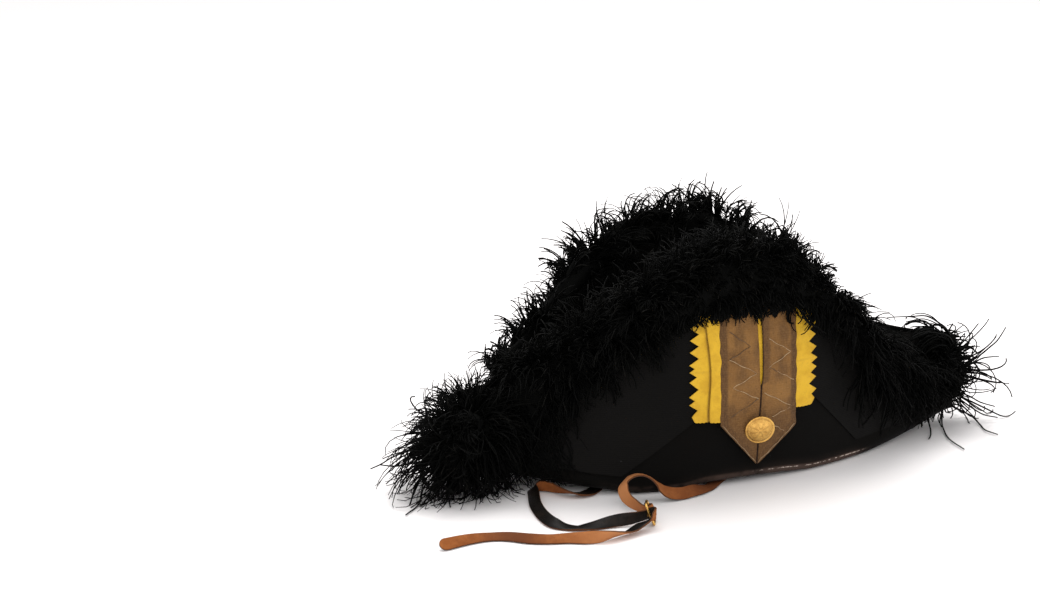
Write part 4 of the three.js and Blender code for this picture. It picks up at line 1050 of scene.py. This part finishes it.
def makeButton():
    # a lathe form with petals and a ring of beads raised on its dome
    # it hangs from its shank, turned a little to the back of the hat and drooping
    domeShare = np.linspace(0.84, 0.02, 36)
    domeRise = np.interp(domeShare, *np.transpose(button["dome"]))
    profile = np.concatenate([button["base"], np.stack([domeShare, domeRise], -1)])
    turn = np.linspace(0, 2 * math.pi, 161)[:-1]
    share, angle = np.meshgrid(profile[:, 0], turn, indexing="ij")
    up = np.repeat(profile[:, 1][:, None], len(turn), 1)
    face = np.arange(len(profile))[:, None] >= len(button["base"])
    petal = np.abs(np.cos(angle * button["petals"] / 2)) ** 0.7
    petalRise = 0.26 * (petal - 0.45) * ramp(0.1, 0.24, share) * ramp(0.64, 0.5, share)
    bead = 0.4 * np.clip(np.cos(angle * button["beads"]), 0, 1) * np.exp(-((share - 0.745) / 0.04) ** 2)
    boss = 0.45 * np.exp(-(share / 0.1) ** 2)
    raised = (petalRise + bead + boss) * face
    up = up + raised
    seat = onCockade(button["place"], cockade["button"])
    ahead = unit(onCockade(0.5, cockade["button"]) - onCockade(-0.5, cockade["button"]))
    rise = onCockade(0.0, cockade["button"] + 0.5) - onCockade(0.0, cockade["button"] - 0.5)
    normal = unit(np.cross(ahead, rise))
    rise = np.cross(normal, ahead)
    middle = seat + normal * button["lift"]
    yaw, droop = math.radians(button["yaw"]), math.radians(button["droop"])
    normal, ahead = (
        normal * math.cos(yaw) - ahead * math.sin(yaw), ahead * math.cos(yaw) + normal * math.sin(yaw),
    )
    normal, rise = (
        normal * math.cos(droop) - rise * math.sin(droop),
        rise * math.cos(droop) + normal * math.sin(droop),
    )
    radius = share * button["radius"]
    points = (
        middle + (radius * np.cos(angle))[..., None] * ahead + (radius * np.sin(angle))[..., None] * rise
        + up[..., None] * normal
    )
    patinaAndShade = np.clip(0.2 - raised * 1.2, 0, 1) * face + 0.8 * np.exp(-((share - 0.86) / 0.03) ** 2) * face
    # painted shade: the button darker on its lower left side; slow random tarnish over all
    patinaAndShade = patinaAndShade + 0.5 * ramp(-0.1, -1.0, share * np.cos(angle - 0.75)) + 0.12 * wander(points, 5, 14)
    points, *faces = closedGrid(points)
    return newPiece("giltButton", points, faces, None, {"patinaAndShade": np.clip(patinaAndShade, 0, 1)}, 60)


dress(makeButton(), gilt, "gilt", "button")
print("cockade made")

# Feathers: every barb is a thin three-sided tube that bends as it goes

feather = {
    "girth": 0.62, "taper": 0.58, "steps": 7, "tuftSteps": 8, "ribSteps": 9, "straySteps": 12,
    "frondSteps": 5, "frondBarb": 15, "ends": (-196, 196), "inner": 1.75, "strayTone": 0.5,
    "lowest": 0.7, "outmost": -111,
}
# x, crest over the near and the far wing's edge, how far the edging's line sinks below the edge,
# and how far it hangs below that line
edgeRows = np.array([
    (-196, 20, 20, 0, 56), (-177, 24, 24, 0, 54), (-157, 29, 30, 0, 46), (-133, 32, 34, 0, 41),
    (-114, 33, 37, 0, 35), (-87, 34, 38, 0, 35), (-60, 34, 37, 0, 37), (0, 32, 36, 0, 40),
    (50, 20, 34, 0, 28), (68, 13, 29, 0, 27), (82, 10, 44, 0, 38), (112, 8, 20, 8, 70),
    (150, 8, 6, 26, 56), (196, 12, 10, 34, 42),
])
crestNear, crestFar, edgeSink, edgeDrop = [tableCurve(edgeRows[:, 0], edgeRows[:, k]) for k in range(1, 5)]
edgeRise = {"right": crestNear, "left": crestFar}


def edgeLine(x):
    return topHeight(x) - edgeSink(x)


def barbPaths(root, ahead, curl, length, turn, power, steps):
    # each barb's heading swings from ahead towards curl by turn * share ** power; the path sums the headings
    share = np.linspace(0, 1, steps + 1)
    angle = turn[:, None] * share[None, :] ** power[:, None]
    heading = np.cos(angle)[..., None] * ahead[:, None] + np.sin(angle)[..., None] * curl[:, None]
    move = (heading[:, 1:] + heading[:, :-1]) / 2 * (length / steps)[:, None, None]
    return root[:, None] + np.concatenate([np.zeros_like(heading[:, :1]), np.cumsum(move, 1)], 1)


def squareTo(ahead, curl):
    return unit(curl - (curl * ahead).sum(-1, keepdims=True) * ahead)


def onHat(x):
    # x held just within the felt's tips
    return np.clip(x, -224, 224)


def wallBeside(x, z):
    # the wall's half width at the height that is nearest to z
    return wallOut(x, np.clip(z, foot(x) + foldRadius(x), topHeight(x)))


def beforeCockade(x, z, top):
    # 1 before the cockade and 0 away from it
    return ramp(-70, -62, x) * ramp(58, 50, x) * ramp(153, top, z)


def keepOff(path, outside):
    # holds barbs off the near wing's two faces and the cockade, and above the ground
    x, y, z = path[..., 0], path[..., 1], path[..., 2]
    near = onHat(x)
    wall = wallBeside(near, z)
    gap = 2.4 + 4.6 * beforeCockade(x, z, 148)
    beside = (z < topHeight(near) + 1) & (z > foot(near)) & (np.abs(x) < 222)
    y = np.where(beside & outside[:, None], np.minimum(y, -wall - gap), y)
    y = np.where(beside & ~outside[:, None], np.maximum(y, -wall + wing["felt"] + 1.2), y)
    return np.stack([x, np.maximum(y, feather["outmost"]), np.maximum(z, feather["lowest"])], -1)


def edgeRoots(side, x, place):
    # a place round the roll along the wing's edge: 0 faces outward, a quarter turn up, a half turn inward
    rise, drop, line = edgeRise[side](x), edgeDrop(x), edgeLine(x)
    bulk = mix(0.6, 1, np.sqrt(np.clip(1 - (x / 200) ** 2, 0, 1)))
    low = np.sin(place) < 0
    up = line + np.where(low, 0.6 * drop, 0.5 * rise) * np.sin(place)
    wall = wallBeside(x, up)
    root = np.stack([x, -wall - 3 - 8 * bulk * np.cos(place) * np.where(low, 0.7, 1), up], -1)
    isUp = ramp(0.55, 1.2, place) * ramp(2.6, 2.0, place)
    isOut, isIn = ramp(1.1, 0.4, place), ramp(2.0, 2.7, place)
    return root, rise, drop, isUp, isOut, isIn


def edgeWays(place, sway, swing, isUp, isOut, isIn):
    # ahead: away from the roll with some sway along the edge
    # curl: over and aside on the crest, down elsewhere
    outside, upward, along = np.array([0, -1.0, 0]), np.array([0, 0, 1.0]), np.array([1.0, 0, 0])
    ahead = np.cos(place)[:, None] * outside + (np.sin(place) + 0.25)[:, None] * upward
    ahead = ahead + sway[:, None] * along
    lean = np.sign(swing)[:, None] * along
    curl = isUp[:, None] * (0.9 * lean + 0.5 * np.sign(np.cos(place))[:, None] * outside - 0.3 * upward)
    curl = curl + isOut[:, None] * (0.35 * lean - upward) + isIn[:, None] * (0.4 * lean - 0.8 * upward)
    return ahead, curl


def overCockade(x, isOut):
    # barbs that hang over the cockade are cut to about half their length
    return 1 - 0.5 * isOut * ramp(-88, -74, x) * ramp(74, 60, x)


def aboveFold(root, length):
    # towards the front tip no barb is longer than its root stands above the wing's fold
    x = onHat(root[:, 0])
    return np.where(x > 96, np.minimum(length, np.maximum(root[:, 2] - foot(x) - 3, 9)), length)


def barbGirth(seeded, path, bold, low, high):
    # thinner towards the tip, and not alike from barb to barb
    share = np.linspace(0, 1, path.shape[1])
    girth = bold * feather["girth"] * seeded.uniform(low, high, len(path))[:, None]
    return girth * (1.05 - feather["taper"] * share ** 1.4)


def barbTone(seeded, path, base, spread, atRoot):
    # a tone for each corner of a barb's three-sided rings, paler towards the tip
    share = np.linspace(0, 1, path.shape[1])
    tone = np.clip(base + seeded.uniform(0, spread, len(path)), 0, 1)[:, None] * mix(atRoot, 1, share)
    return np.repeat(tone.ravel(), 3)


def edgeBarbs(
    side, seed, clumps, perClump, lowest, highest, ends=feather["ends"], reach=1.0, aside=0.0, bold=1.0,
):
    # bundles of single barbs, fanned from one spot of the roll, with tips that hook over
    # aside makes them hook along the edge
    seeded = np.random.default_rng(seed)
    centre = np.linspace(*ends, clumps) + seeded.normal(0, 3, clumps)
    about = seeded.uniform(lowest, highest, clumps)
    sway, swing = seeded.normal(0, 0.5, clumps), seeded.normal(0, 0.6, clumps)
    hook, size = seeded.uniform(0.7, 2.5, clumps), seeded.uniform(0.82, 1.08, clumps)
    clumpTone = seeded.uniform(0, 0.5, clumps)
    which = np.repeat(np.arange(clumps), perClump)
    many = len(which)
    x = np.clip(centre[which] + seeded.normal(0, 2.6, many), -199, 199)
    place = about[which] + seeded.normal(0, 0.25, many)
    root, rise, drop, isUp, isOut, isIn = edgeRoots(side, x, place)
    sway = sway[which] + seeded.normal(0, 0.22, many)
    ahead, curl = edgeWays(place, sway, swing[which], isUp, isOut, isIn)
    ahead = unit(ahead + seeded.normal(0, 0.11, (many, 3)))
    curl[:, 0] += aside * np.sign(swing[which])
    curl = squareTo(ahead, curl + seeded.normal(0, 0.25, (many, 3)))
    length = np.maximum(isUp * (0.92 * rise + 5) + isOut * (0.5 * drop + 14) + isIn * 27, 12)
    length = length * reach * size[which] * seeded.uniform(0.6, 1.08, many) * overCockade(x, isOut)
    turn, power = hook[which] * seeded.uniform(0.6, 1.3, many), seeded.uniform(1.1, 2.8, many)
    path = barbPaths(root, ahead, curl, aboveFold(root, length), turn, power, feather["steps"])
    path = keepOff(path, place < feather["inner"])
    tubes = tubesAlong(path, barbGirth(seeded, path, bold, 0.75, 1.25), np.cross(ahead, curl))
    return *tubes, barbTone(seeded, path, clumpTone[which], 0.55, 0.65)


def ribBarbs(rib, perRib, barb, seeded):
    # barbs leave a rib to both sides by turns, slant towards its tip and droop; the middle ones are longest
    count, rings = rib.shape[:2]
    run = unit(np.gradient(rib, axis=1))
    flat = unit(np.cross(run, np.gradient(run, axis=1) + (0.003, 0.004, 0.001)))
    at = np.clip(np.linspace(0.1, 1, perRib) + seeded.normal(0, 0.025, (count, perRib)), 0, 1)
    k = np.minimum((at * (rings - 1)).astype(int), rings - 2)
    row = np.arange(count)[:, None]
    root = mix(rib[row, k], rib[row, k + 1], (at * (rings - 1) - k)[..., None]).reshape(-1, 3)
    aside = (flat[row, k] * np.where(np.arange(perRib) % 2, 1.0, -1.0)[None, :, None]).reshape(-1, 3)
    along = run[row, k].reshape(-1, 3)
    many = len(root)
    slant = mix(1.1, 0.35, at.ravel()) + seeded.normal(0, 0.12, many)
    ahead = np.cos(slant)[:, None] * along + np.sin(slant)[:, None] * aside
    ahead = unit(ahead + seeded.normal(0, 0.12, (many, 3)))
    curl = squareTo(ahead, along + (0, 0, -0.6) + seeded.normal(0, 0.35, (many, 3)))
    length = (barb[:, None] * (0.5 + 0.5 * np.sin(math.pi * at ** 0.8))).ravel()
    length = length * seeded.uniform(0.65, 1.2, many)
    turn, power = seeded.uniform(0.4, 1.9, many), seeded.uniform(1.0, 2.4, many)
    return barbPaths(root, ahead, curl, length, turn, power, feather["frondSteps"]), aside


def frondTubes(rib, path, aside, perRib, seeded):
    # the barbs and the rib of every frond as tubes, one tone to a frond with some change from barb to barb
    barbs = tubesAlong(path, barbGirth(seeded, path, 0.86, 0.7, 1.2), aside)
    frondTone = seeded.uniform(0, 0.6, len(rib))
    tone = barbTone(seeded, path, np.repeat(frondTone, perRib), 0.45, 0.7)
    ribGirth = np.tile(np.linspace(0.6, 0.25, rib.shape[1]), (len(rib), 1))
    points, faces = joined([barbs, tubesAlong(rib, ribGirth, aside[::perRib])])
    return points, *faces, np.concatenate([tone, np.repeat(frondTone * 0.8, 3 * rib.shape[1])])


def edgeFronds(side, seed, fronds, perFrond, highest):
    # curled plumes on the roll's crest and outer side: a rib that swings over, with its barbs
    seeded = np.random.default_rng(seed)
    x = np.clip(np.linspace(-194, 194, fronds) + seeded.normal(0, 6, fronds), -197, 197)
    place = seeded.uniform(-0.85, highest, fronds)
    root, rise, drop, isUp, isOut, isIn = edgeRoots(side, x, place)
    sway, swing = seeded.normal(0, 0.6, fronds), seeded.normal(0, 1, fronds)
    ahead, curl = edgeWays(place, sway, swing, isUp, isOut, isIn)
    ahead = unit(ahead + seeded.normal(0, 0.15, (fronds, 3)))
    curl = squareTo(ahead, curl + seeded.normal(0, 0.2, (fronds, 3)))
    length = np.maximum(isUp * (0.72 * rise + 6) + isOut * (0.42 * drop + 14) + isIn * 26, 14)
    length = length * seeded.uniform(0.75, 1.1, fronds) * overCockade(x, isOut)
    turn, power = seeded.uniform(1.0, 2.7, fronds), seeded.uniform(0.9, 1.6, fronds)
    outside = place < feather["inner"]
    rib = barbPaths(root, ahead, curl, aboveFold(root, length), turn, power, feather["ribSteps"])
    rib = keepOff(rib, outside)
    barb = feather["frondBarb"] * np.clip(rise / 26, 0.45, 1) * overCockade(x, isOut)
    path, aside = ribBarbs(rib, perFrond, barb * seeded.uniform(0.75, 1.1, fronds), seeded)
    return frondTubes(rib, keepOff(path, np.repeat(outside, perFrond)), aside, perFrond, seeded)


def edgeCore(side, seed):
    # the lumpy dark body that the barbs grow from: round over the wing's edge, thin where it hangs down
    x, turn = np.linspace(*feather["ends"], 160), np.linspace(0, 2 * math.pi, 25)[:-1]
    x, turn = np.meshgrid(x, turn, indexing="ij")
    bulk = mix(0.5, 1, np.sqrt(np.clip(1 - (x / feather["ends"][1]) ** 2, 0, 1)))
    lump = 1 + 0.22 * wander(np.stack([x, 40 * np.cos(turn), 40 * np.sin(turn)], -1), 22, seed)
    low = np.sin(turn) < 0
    short = mix(0.62, 0.58, ramp(-84, -72, x) * ramp(74, 62, x))
    ragged = lump + 0.2 * wander(np.stack([x, 9 * turn, 0 * x], -1), 9, seed + 1) * low
    crest, seat = (0.5, 1.7) if side == "right" else (0.64, 0.3)
    z = edgeLine(x) + np.where(low, short * edgeDrop(x), crest * edgeRise[side](x)) * np.sin(turn) * ragged
    wall = wallBeside(x, z)
    y = -wall - 3 - 10 * bulk * lump * np.cos(turn) * np.where(low, mix(1, 0.45, -np.sin(turn)), 1)
    seat = seat + 4.8 * beforeCockade(x, z, 147)
    y = np.where(z < topHeight(x) + 1, np.minimum(y, -wall - seat), y)
    return np.stack([x, np.minimum(y, -0.5), z], -1)


def coreLot(grid):
    # a core's rings with their faces and the darkest tone
    points, *faces = closedGrid(grid)
    return points, *faces, np.zeros(len(points))


def makePlumage(name, lots, side, *nodes):
    # lots of points, faces and tones as one piece; what is on the far wing is mirrored
    points, faces = joined([lot[:-1] for lot in lots])
    if side == "left":
        points = points * (1, -1, 1)
    tone = np.concatenate([lot[-1] for lot in lots])
    dress(newPiece(name, points, faces, None, {"tone": tone}, 0), plume, "feather", *nodes)


edgings = {
    "right": {
        "node": "feather_edge_right", "seed": 71, "under": (240, 11), "curls": (200, 8),
        "fronds": (110, 32, 2.3), "bold": 1.3,
    },
    "left": {
        "node": "feather_edge_left", "seed": 83, "under": (170, 10), "curls": (110, 8),
        "fronds": (96, 26, 3.6), "bold": 1.6,
    },
}
# single barbs on the near wing: over the cockade, a few long ones before it, and below the edging's back end
extras = {
    "featherFringe": {
        "seed": 97, "clumps": (52, 10), "around": (-1.4, -0.8), "ends": (-74, 66), "reach": 0.55,
        "aside": 0.9, "bold": 1.0,
    },
    "featherStrays": {
        "seed": 101, "clumps": (9, 5), "around": (-1.4, -0.9), "ends": (30, 60), "reach": 1.9,
        "aside": 2.2, "bold": 1.5,
    },
    "featherSkirt": {
        "seed": 103, "clumps": (16, 9), "around": (-1.5, -1.05), "ends": (-199, -176), "reach": 1.45,
        "aside": 0.3, "bold": 1.1,
    },
}
for side, edging in edgings.items():
    seed, title = edging["seed"], side.title()
    under = edgeBarbs(side, seed, *edging["under"], -1.0, 3.7)
    makePlumage("featherEdge" + title, [under, coreLot(edgeCore(side, seed))], side, edging["node"])
    curls = edgeBarbs(side, seed + 5, *edging["curls"], -1.0, 2.2, bold=edging["bold"])
    makePlumage("featherCurls" + title, [curls], side)
    makePlumage("featherFronds" + title, [edgeFronds(side, seed + 9, *edging["fronds"])], side)
for name, extra in extras.items():
    shape = {key: extra[key] for key in ("ends", "reach", "aside", "bold")}
    barbs = edgeBarbs("right", extra["seed"], *extra["clumps"], *extra["around"], **shape)
    makePlumage(name, [barbs], "right")
print("edgings made")

tufts = {
    "front": {
        "node": "tuft_front", "middle": (204, -5, 49), "ball": 22, "reach": 29, "seed": 17, "fronds": 18,
        "trail": 0.0, "spray": (64, 58), "loops": (150, (211, -11, 64)), "tip": (90, 14, 82),
    },
    "back": {
        "node": "tuft_back", "middle": (-224, -16, 44), "ball": 30, "reach": 50, "seed": 29, "fronds": 32,
        "trail": 0.7, "spray": (36, 46), "loops": (0, (-224, -16, 60)), "tip": (40, 22, 74),
    },
}
# long single barbs that leave the tufts, as points to run through
wisps = {
    "front": [
        [
            (223, -8, 46), (236, -8, 53), (246, -8, 60), (253, -8, 67), (257, -8, 72), (260, -8, 79),
            (262, -8, 86),
        ],
        [(223, -8, 44), (236, -8, 47), (246, -8, 52), (254, -8, 62)],
        [(223, -8, 46), (238, -8, 46), (250, -8, 43), (254, -8, 41), (257, -8, 38)],
        [(223, -8, 43), (228, -8, 39), (239, -8, 35), (247, -8, 36), (250, -8, 38)],
        [(230, -8, 47), (243, -8, 51), (253, -8, 54), (263, -8, 54), (271, -8, 53)],
        [(210, -8, 37), (220, -8, 31), (238, -8, 23), (248, -8, 17), (262, -8, 12)],
        [(210, -8, 34), (221, -8, 27), (238, -8, 14), (249, -8, 7), (261, -8, 4)],
        [(224, -8, 26), (238, -8, 19), (255, -8, 10), (272, -10, 1.5), (280, -8, 1.5), (284, -8, 5)],
        [(214, -8, 21), (230, -4, 11), (242, -8, 4), (240, -23, 1.5), (236, -36, 1.5), (239, -48, 1.5)],
        [(213, -8, 21), (214, -6, 11), (210, -10, 4), (203, -23, 1.5), (194, -44, 1.5), (191, -69, 1.5)],
        [(198, -8, 14), (197, -10, 6), (194, -15, 2), (182, -30, 1.5), (178, -31, 1.5)],
        [(216, -8, 21), (217, -4, 11), (211, -12, 3), (206, -24, 1.5)],
        [(218, -8, 21), (219, -8, 13), (223, -8, 7), (229, -8, 4)],
        [(211, -8, 22), (213, -2, 11), (213, 0, 5), (211, -4, 1.5)],
        [
            (218, -8, 72), (214, -8, 84), (205, -8, 92), (194, -8, 98), (182, -8, 99), (175, -8, 99),
            (174, -8, 97),
        ],
        [(208, -8, 74), (202, -8, 85), (192, -8, 94), (179, -8, 95), (172, -8, 93), (173, -8, 89)],
        [(218, -8, 66), (220, -8, 76), (217, -8, 84), (211, -8, 89)],
        [(222, -8, 61), (227, -8, 69), (232, -8, 70), (234, -8, 66)],
    ],
    "back": [
        [(-262, -20, 42), (-282, -20, 39), (-292, -20, 36), (-300, -20, 32), (-309, -20, 29)],
        [(-264, -20, 38), (-284, -20, 35), (-292, -20, 30)],
        [(-266, -20, 30), (-285, -20, 24), (-293, -20, 22)],
        [(-264, -20, 29), (-278, -20, 20), (-286, -20, 4)],
        [(-262, -20, 22), (-270, -14, 9), (-283, -32, 1.5)],
        [(-260, -20, 22), (-268, -14, 9), (-281, -39, 1.5)],
        [(-254, -20, 18), (-263, -16, 7), (-275, -39, 1.5), (-293, -61, 1.5)],
        [(-276, -41, 1.5), (-269, -39, 1.5), (-259, -35, 1.8)],
        [
            (-250, -20, 14), (-256, -20, 4), (-255, -28, 1.5), (-247, -34, 1.5), (-239, -35, 1.5),
            (-230, -26, 1.5),
        ],
        [(-244, -20, 7), (-249, -33, 1.5), (-255, -53, 1.5)],
        [(-240, -20, 7), (-246, -38, 1.5), (-247, -48, 1.5)],
        [(-231, -20, 13), (-223, -14, 5), (-218, -18, 1.5)],
        [(-217, -20, 10), (-212, -19, 3), (-211, -38, 1.5), (-206, -31, 1.5), (-201, -23, 1.5)],
    ],
}


def evenRays(count):
    # directions spread evenly over a ball by the golden angle
    k = np.arange(count)
    up = 1 - 2 * (k + 0.5) / count
    flat = np.sqrt(1 - up * up)
    turn = k * math.pi * (3 - math.sqrt(5))
    return np.stack([flat * np.cos(turn), flat * np.sin(turn), up], -1)


def trailing(tuft, ray):
    # how much longer the barbs are on the side away from the hat, mostly low down, and on the underside
    away = np.clip(np.sign(tuft["middle"][0]) * ray[..., 0], 0, 1) * np.clip(0.75 - ray[..., 2], 0, 1.2)
    return 1 + tuft["trail"] * (away + 0.5 * np.clip(-ray[..., 2] - 0.1, 0, 1))


def tuftBarbs(tuft, clumps, perClump):
    # plumelets leave a ball all round; their barbs droop and curl aside
    seeded = np.random.default_rng(tuft["seed"])
    rays = unit(evenRays(clumps) + seeded.normal(0, 0.12, (clumps, 3)))
    aside = seeded.normal(0, 1, (clumps, 3))
    hook = seeded.uniform(0.5, 2.1, clumps)
    size = seeded.uniform(0.72, 1.1, clumps)
    clumpTone = seeded.uniform(0, 0.55, clumps)
    which = np.repeat(np.arange(clumps), perClump)
    many = len(which)
    ray = unit(rays[which] + seeded.normal(0, 0.15, (many, 3)))
    start = tuft["ball"] * seeded.uniform(0.45, 0.8, many)
    root = np.array(tuft["middle"], float) + ray * start[:, None]
    ahead = unit(ray + seeded.normal(0, 0.2, (many, 3)) + (0, 0, 0.12))
    curl = squareTo(ahead, 0.7 * unit(aside)[which] + (0, 0, -0.7) + seeded.normal(0, 0.25, (many, 3)))
    length = (tuft["reach"] - start + 8) * size[which] * seeded.uniform(0.6, 1.15, many) * trailing(tuft, ray)
    turn, power = hook[which] * seeded.uniform(0.7, 1.3, many), seeded.uniform(1.0, 2.6, many)
    path = aboveGround(barbPaths(root, ahead, curl, length, turn, power, feather["tuftSteps"]), seeded)
    tubes = tubesAlong(path, barbGirth(seeded, path, 1.0, 0.75, 1.25), np.cross(ahead, curl))
    return *tubes, barbTone(seeded, path, clumpTone[which], 0.5, 0.6)


def aboveGround(path, seeded):
    # what would go below the surface flattens out and lies just above it
    lowest = feather["lowest"] + seeded.uniform(0, 1.4, len(path))[:, None]
    z = path[..., 2]
    path[..., 2] = np.where(z < 6, np.maximum(z * 0.5 + 3 - 3 * ramp(6, -6, z), lowest), z)
    return path


def tuftFronds(tuft, perFrond):
    # plumes all round the ball, whose ribs swing over and down
    seeded = np.random.default_rng(tuft["seed"] + 3)
    count = tuft["fronds"]
    ray = unit(evenRays(count) + seeded.normal(0, 0.2, (count, 3)))
    root = np.array(tuft["middle"], float) + ray * 0.6 * tuft["ball"]
    ahead = unit(ray + (0, 0, 0.3))
    curl = squareTo(ahead, seeded.normal(0, 0.5, (count, 3)) + (0, 0, -0.8))
    length = (tuft["reach"] - 0.6 * tuft["ball"]) * seeded.uniform(0.75, 1.05, count) * trailing(tuft, ray)
    turn, power = seeded.uniform(0.9, 2.4, count), seeded.uniform(0.9, 1.6, count)
    rib = aboveGround(barbPaths(root, ahead, curl, length, turn, power, feather["ribSteps"]), seeded)
    path, aside = ribBarbs(rib, perFrond, feather["frondBarb"] * seeded.uniform(0.7, 1.05, count), seeded)
    return frondTubes(rib, aboveGround(path, seeded), aside, perFrond, seeded)


def wispTubes(rows, seed):
    # long barbs through table points, each with a thinner one that strays from it towards its tip
    seeded = np.random.default_rng(seed)
    tubes = []
    for row in rows:
        whole, _ = routeCurve([(*p, 0.0) for p in row], 6)
        for apart, cut, thick in ((0.0, 1.0, 1.0), (5.0, seeded.uniform(0.65, 0.95), 0.8)):
            path = whole[:max(int(len(whole) * cut), 6)]
            share = np.linspace(0, 1, len(path))[:, None]
            path = path + share ** 1.5 * apart * seeded.normal(0, 1, 3)
            path = path + share * (0, 9, 0) * seeded.normal(0, 1)
            path[:, 2] = np.maximum(path[:, 2], 0.8)
            tubes.append(oneTube(path, thick * (1 - 0.4 * share[:, 0]), (0.31, 0.27, 0.91), 3))
    points, faces = joined(tubes)
    return points, *faces, np.full(len(points), feather["strayTone"])


# spans for the spray, the loops and the tip's barbs: length, bend and its power; the spray's in reaches
stray = {
    "girth": 0.95, "length": ((0.4, 1.1), (24, 58), (8, 22)), "bend": ((0.5, 4.4), (2.0, 4.2), (0.8, 3.2)),
    "power": ((1.3, 3.2), (0.8, 1.2), (0.9, 2.2)), "tipX": 223.5,
}


def strayBarbs(tuft):
    # single thick barbs: a spray that leaves the tuft away from the hat and ends in loops,
    # loops that bend back over the hat, and short ones along the edge of the felt's tip
    seeded = np.random.default_rng(tuft["seed"] + 11)
    away = np.sign(tuft["middle"][0])
    (many, reach), (back, spot), (short, low, high) = tuft["spray"], tuft["loops"], tuft["tip"]
    turn, up = seeded.normal(0, 0.6, many), seeded.uniform(-0.85, 0.6, many)
    ray = np.stack([away * np.cos(up) * np.cos(turn), np.cos(up) * np.sin(turn), np.sin(up)], -1)
    loopRoot = np.array(spot) + seeded.normal(0, 1, (back, 3)) * (4, 2, 4)
    tipSide, tipUp = seeded.normal(0, 2.5, short), seeded.uniform(low, high, short)
    tipRoot = np.stack([np.full(short, away * stray["tipX"]), tipSide, tipUp], -1)
    root = np.concatenate([np.array(tuft["middle"]) + 0.75 * tuft["ball"] * ray, loopRoot, tipRoot])
    upright = np.array([0, 0, 1.0]) + seeded.normal(0, 0.22, (back, 3)) * (1, 0.6, 0)
    leaving = np.array([away, 0, -0.15]) + seeded.normal(0, 0.5, (short, 3))
    ahead = unit(np.concatenate([ray + seeded.normal(0, 0.15, (many, 3)), upright, leaving]))
    sprayCurl, loopCurl = seeded.normal(0, 1, (many, 3)), seeded.normal(0, 0.12, (back, 3))
    curl = np.concatenate([sprayCurl, np.array([-away, 0, 0]) + loopCurl, seeded.normal(0, 1, (short, 3))])
    curl = squareTo(ahead, curl)
    drawn = []
    for key in ("length", "bend", "power"):
        lots = [seeded.uniform(*span, count) for span, count in zip(stray[key], (many, back, short))]
        drawn.append(np.concatenate(lots))
    length, bend, power = drawn
    length[:many] *= reach
    path = aboveGround(barbPaths(root, ahead, curl, length, bend, power, feather["straySteps"]), seeded)
    thinning = np.linspace(1, 0.6, path.shape[1])
    girth = stray["girth"] * seeded.uniform(0.7, 1.15, len(root))[:, None] * thinning
    tubes = tubesAlong(path, girth, np.cross(ahead, curl))
    return *tubes, np.full(len(tubes[0]), feather["strayTone"])


def tuftCore(tuft):
    # a lumpy ball: rings of latitude and longitude pushed out and in by slow noise
    up, turn = np.meshgrid(
        np.linspace(-0.99, 0.99, 22) * math.pi / 2, np.linspace(0, 2 * math.pi, 37)[:-1], indexing="ij",
    )
    ray = np.stack([np.cos(up) * np.cos(turn), np.cos(up) * np.sin(turn), np.sin(up)], -1)
    ball = tuft["ball"] * (0.78 + 0.14 * wander(ray * 30, 18, tuft["seed"]))
    longer = mix(1, trailing(tuft, ray), 0.75)
    core = np.array(tuft["middle"], float) + ray * (ball * longer)[..., None]
    return np.maximum(core, (-1000, -1000, 1.5))


for which, tuft in tufts.items():
    lots = [
        tuftBarbs(tuft, 84, 17), tuftFronds(tuft, 34), coreLot(tuftCore(tuft)),
        wispTubes(wisps[which], tuft["seed"]), strayBarbs(tuft),
    ]
    makePlumage("tuft" + which.title(), lots, which, tuft["node"])
print("tufts made")

# Floor and light

studio = {"floor": 14.0, "world": 1.02, "key": 38.0, "fill": 9.0}


def makeFloor():
    x, y = np.meshgrid(np.linspace(-1, 1, 9), np.linspace(-1, 1, 9), indexing="ij")
    points = np.stack([x, y, 0 * x], -1) * studio["floor"] * 1000
    mesh = bpy.data.meshes.new("paleFloor")
    mesh.from_pydata((points.reshape(-1, 3) * mm).tolist(), [], gridQuads(9, 9).tolist())
    mesh.update()
    floor = bpy.data.objects.new("paleFloor", mesh)
    scene.collection.objects.link(floor)
    material, tree, shader, place, _ = newFinish("paleTable", Roughness=0.75, Specular_IOR_Level=0.2)
    feed(
        tree, shader,
        blendColour(tree, noise(tree, place, 3.0, 3.0), (0.90, 0.885, 0.885), (0.92, 0.905, 0.905)),
    )
    mesh.materials.append(material)


def makeLight(name, place, aim, size, watts, tint):
    data = bpy.data.lights.new(name, "AREA")
    data.shape = "RECTANGLE"
    data.size, data.size_y = size
    data.energy = watts
    data.color = tint
    lamp = bpy.data.objects.new(name, data)
    lamp.location = place
    lamp.rotation_euler = (Vector(aim) - Vector(place)).to_track_quat("-Z", "Y").to_euler()
    scene.collection.objects.link(lamp)


makeFloor()
makeLight("overheadKey", (0.25, 0.75, 2.1), (0, 0, 0.05), (1.8, 1.4), studio["key"], (1, 0.985, 0.97))
makeLight("frontFill", (-1.3, -2.0, 1.3), (0, 0, 0.08), (1.6, 1.2), studio["fill"], (1, 0.98, 0.96))
world = bpy.data.worlds.new("paleRoom")
world.use_nodes = True
world.node_tree.nodes["Background"].inputs["Color"].default_value = (1.0, 0.985, 0.985, 1)
world.node_tree.nodes["Background"].inputs["Strength"].default_value = studio["world"]
scene.world = world
scene.view_settings.view_transform = "Standard"
print("floor and light set")
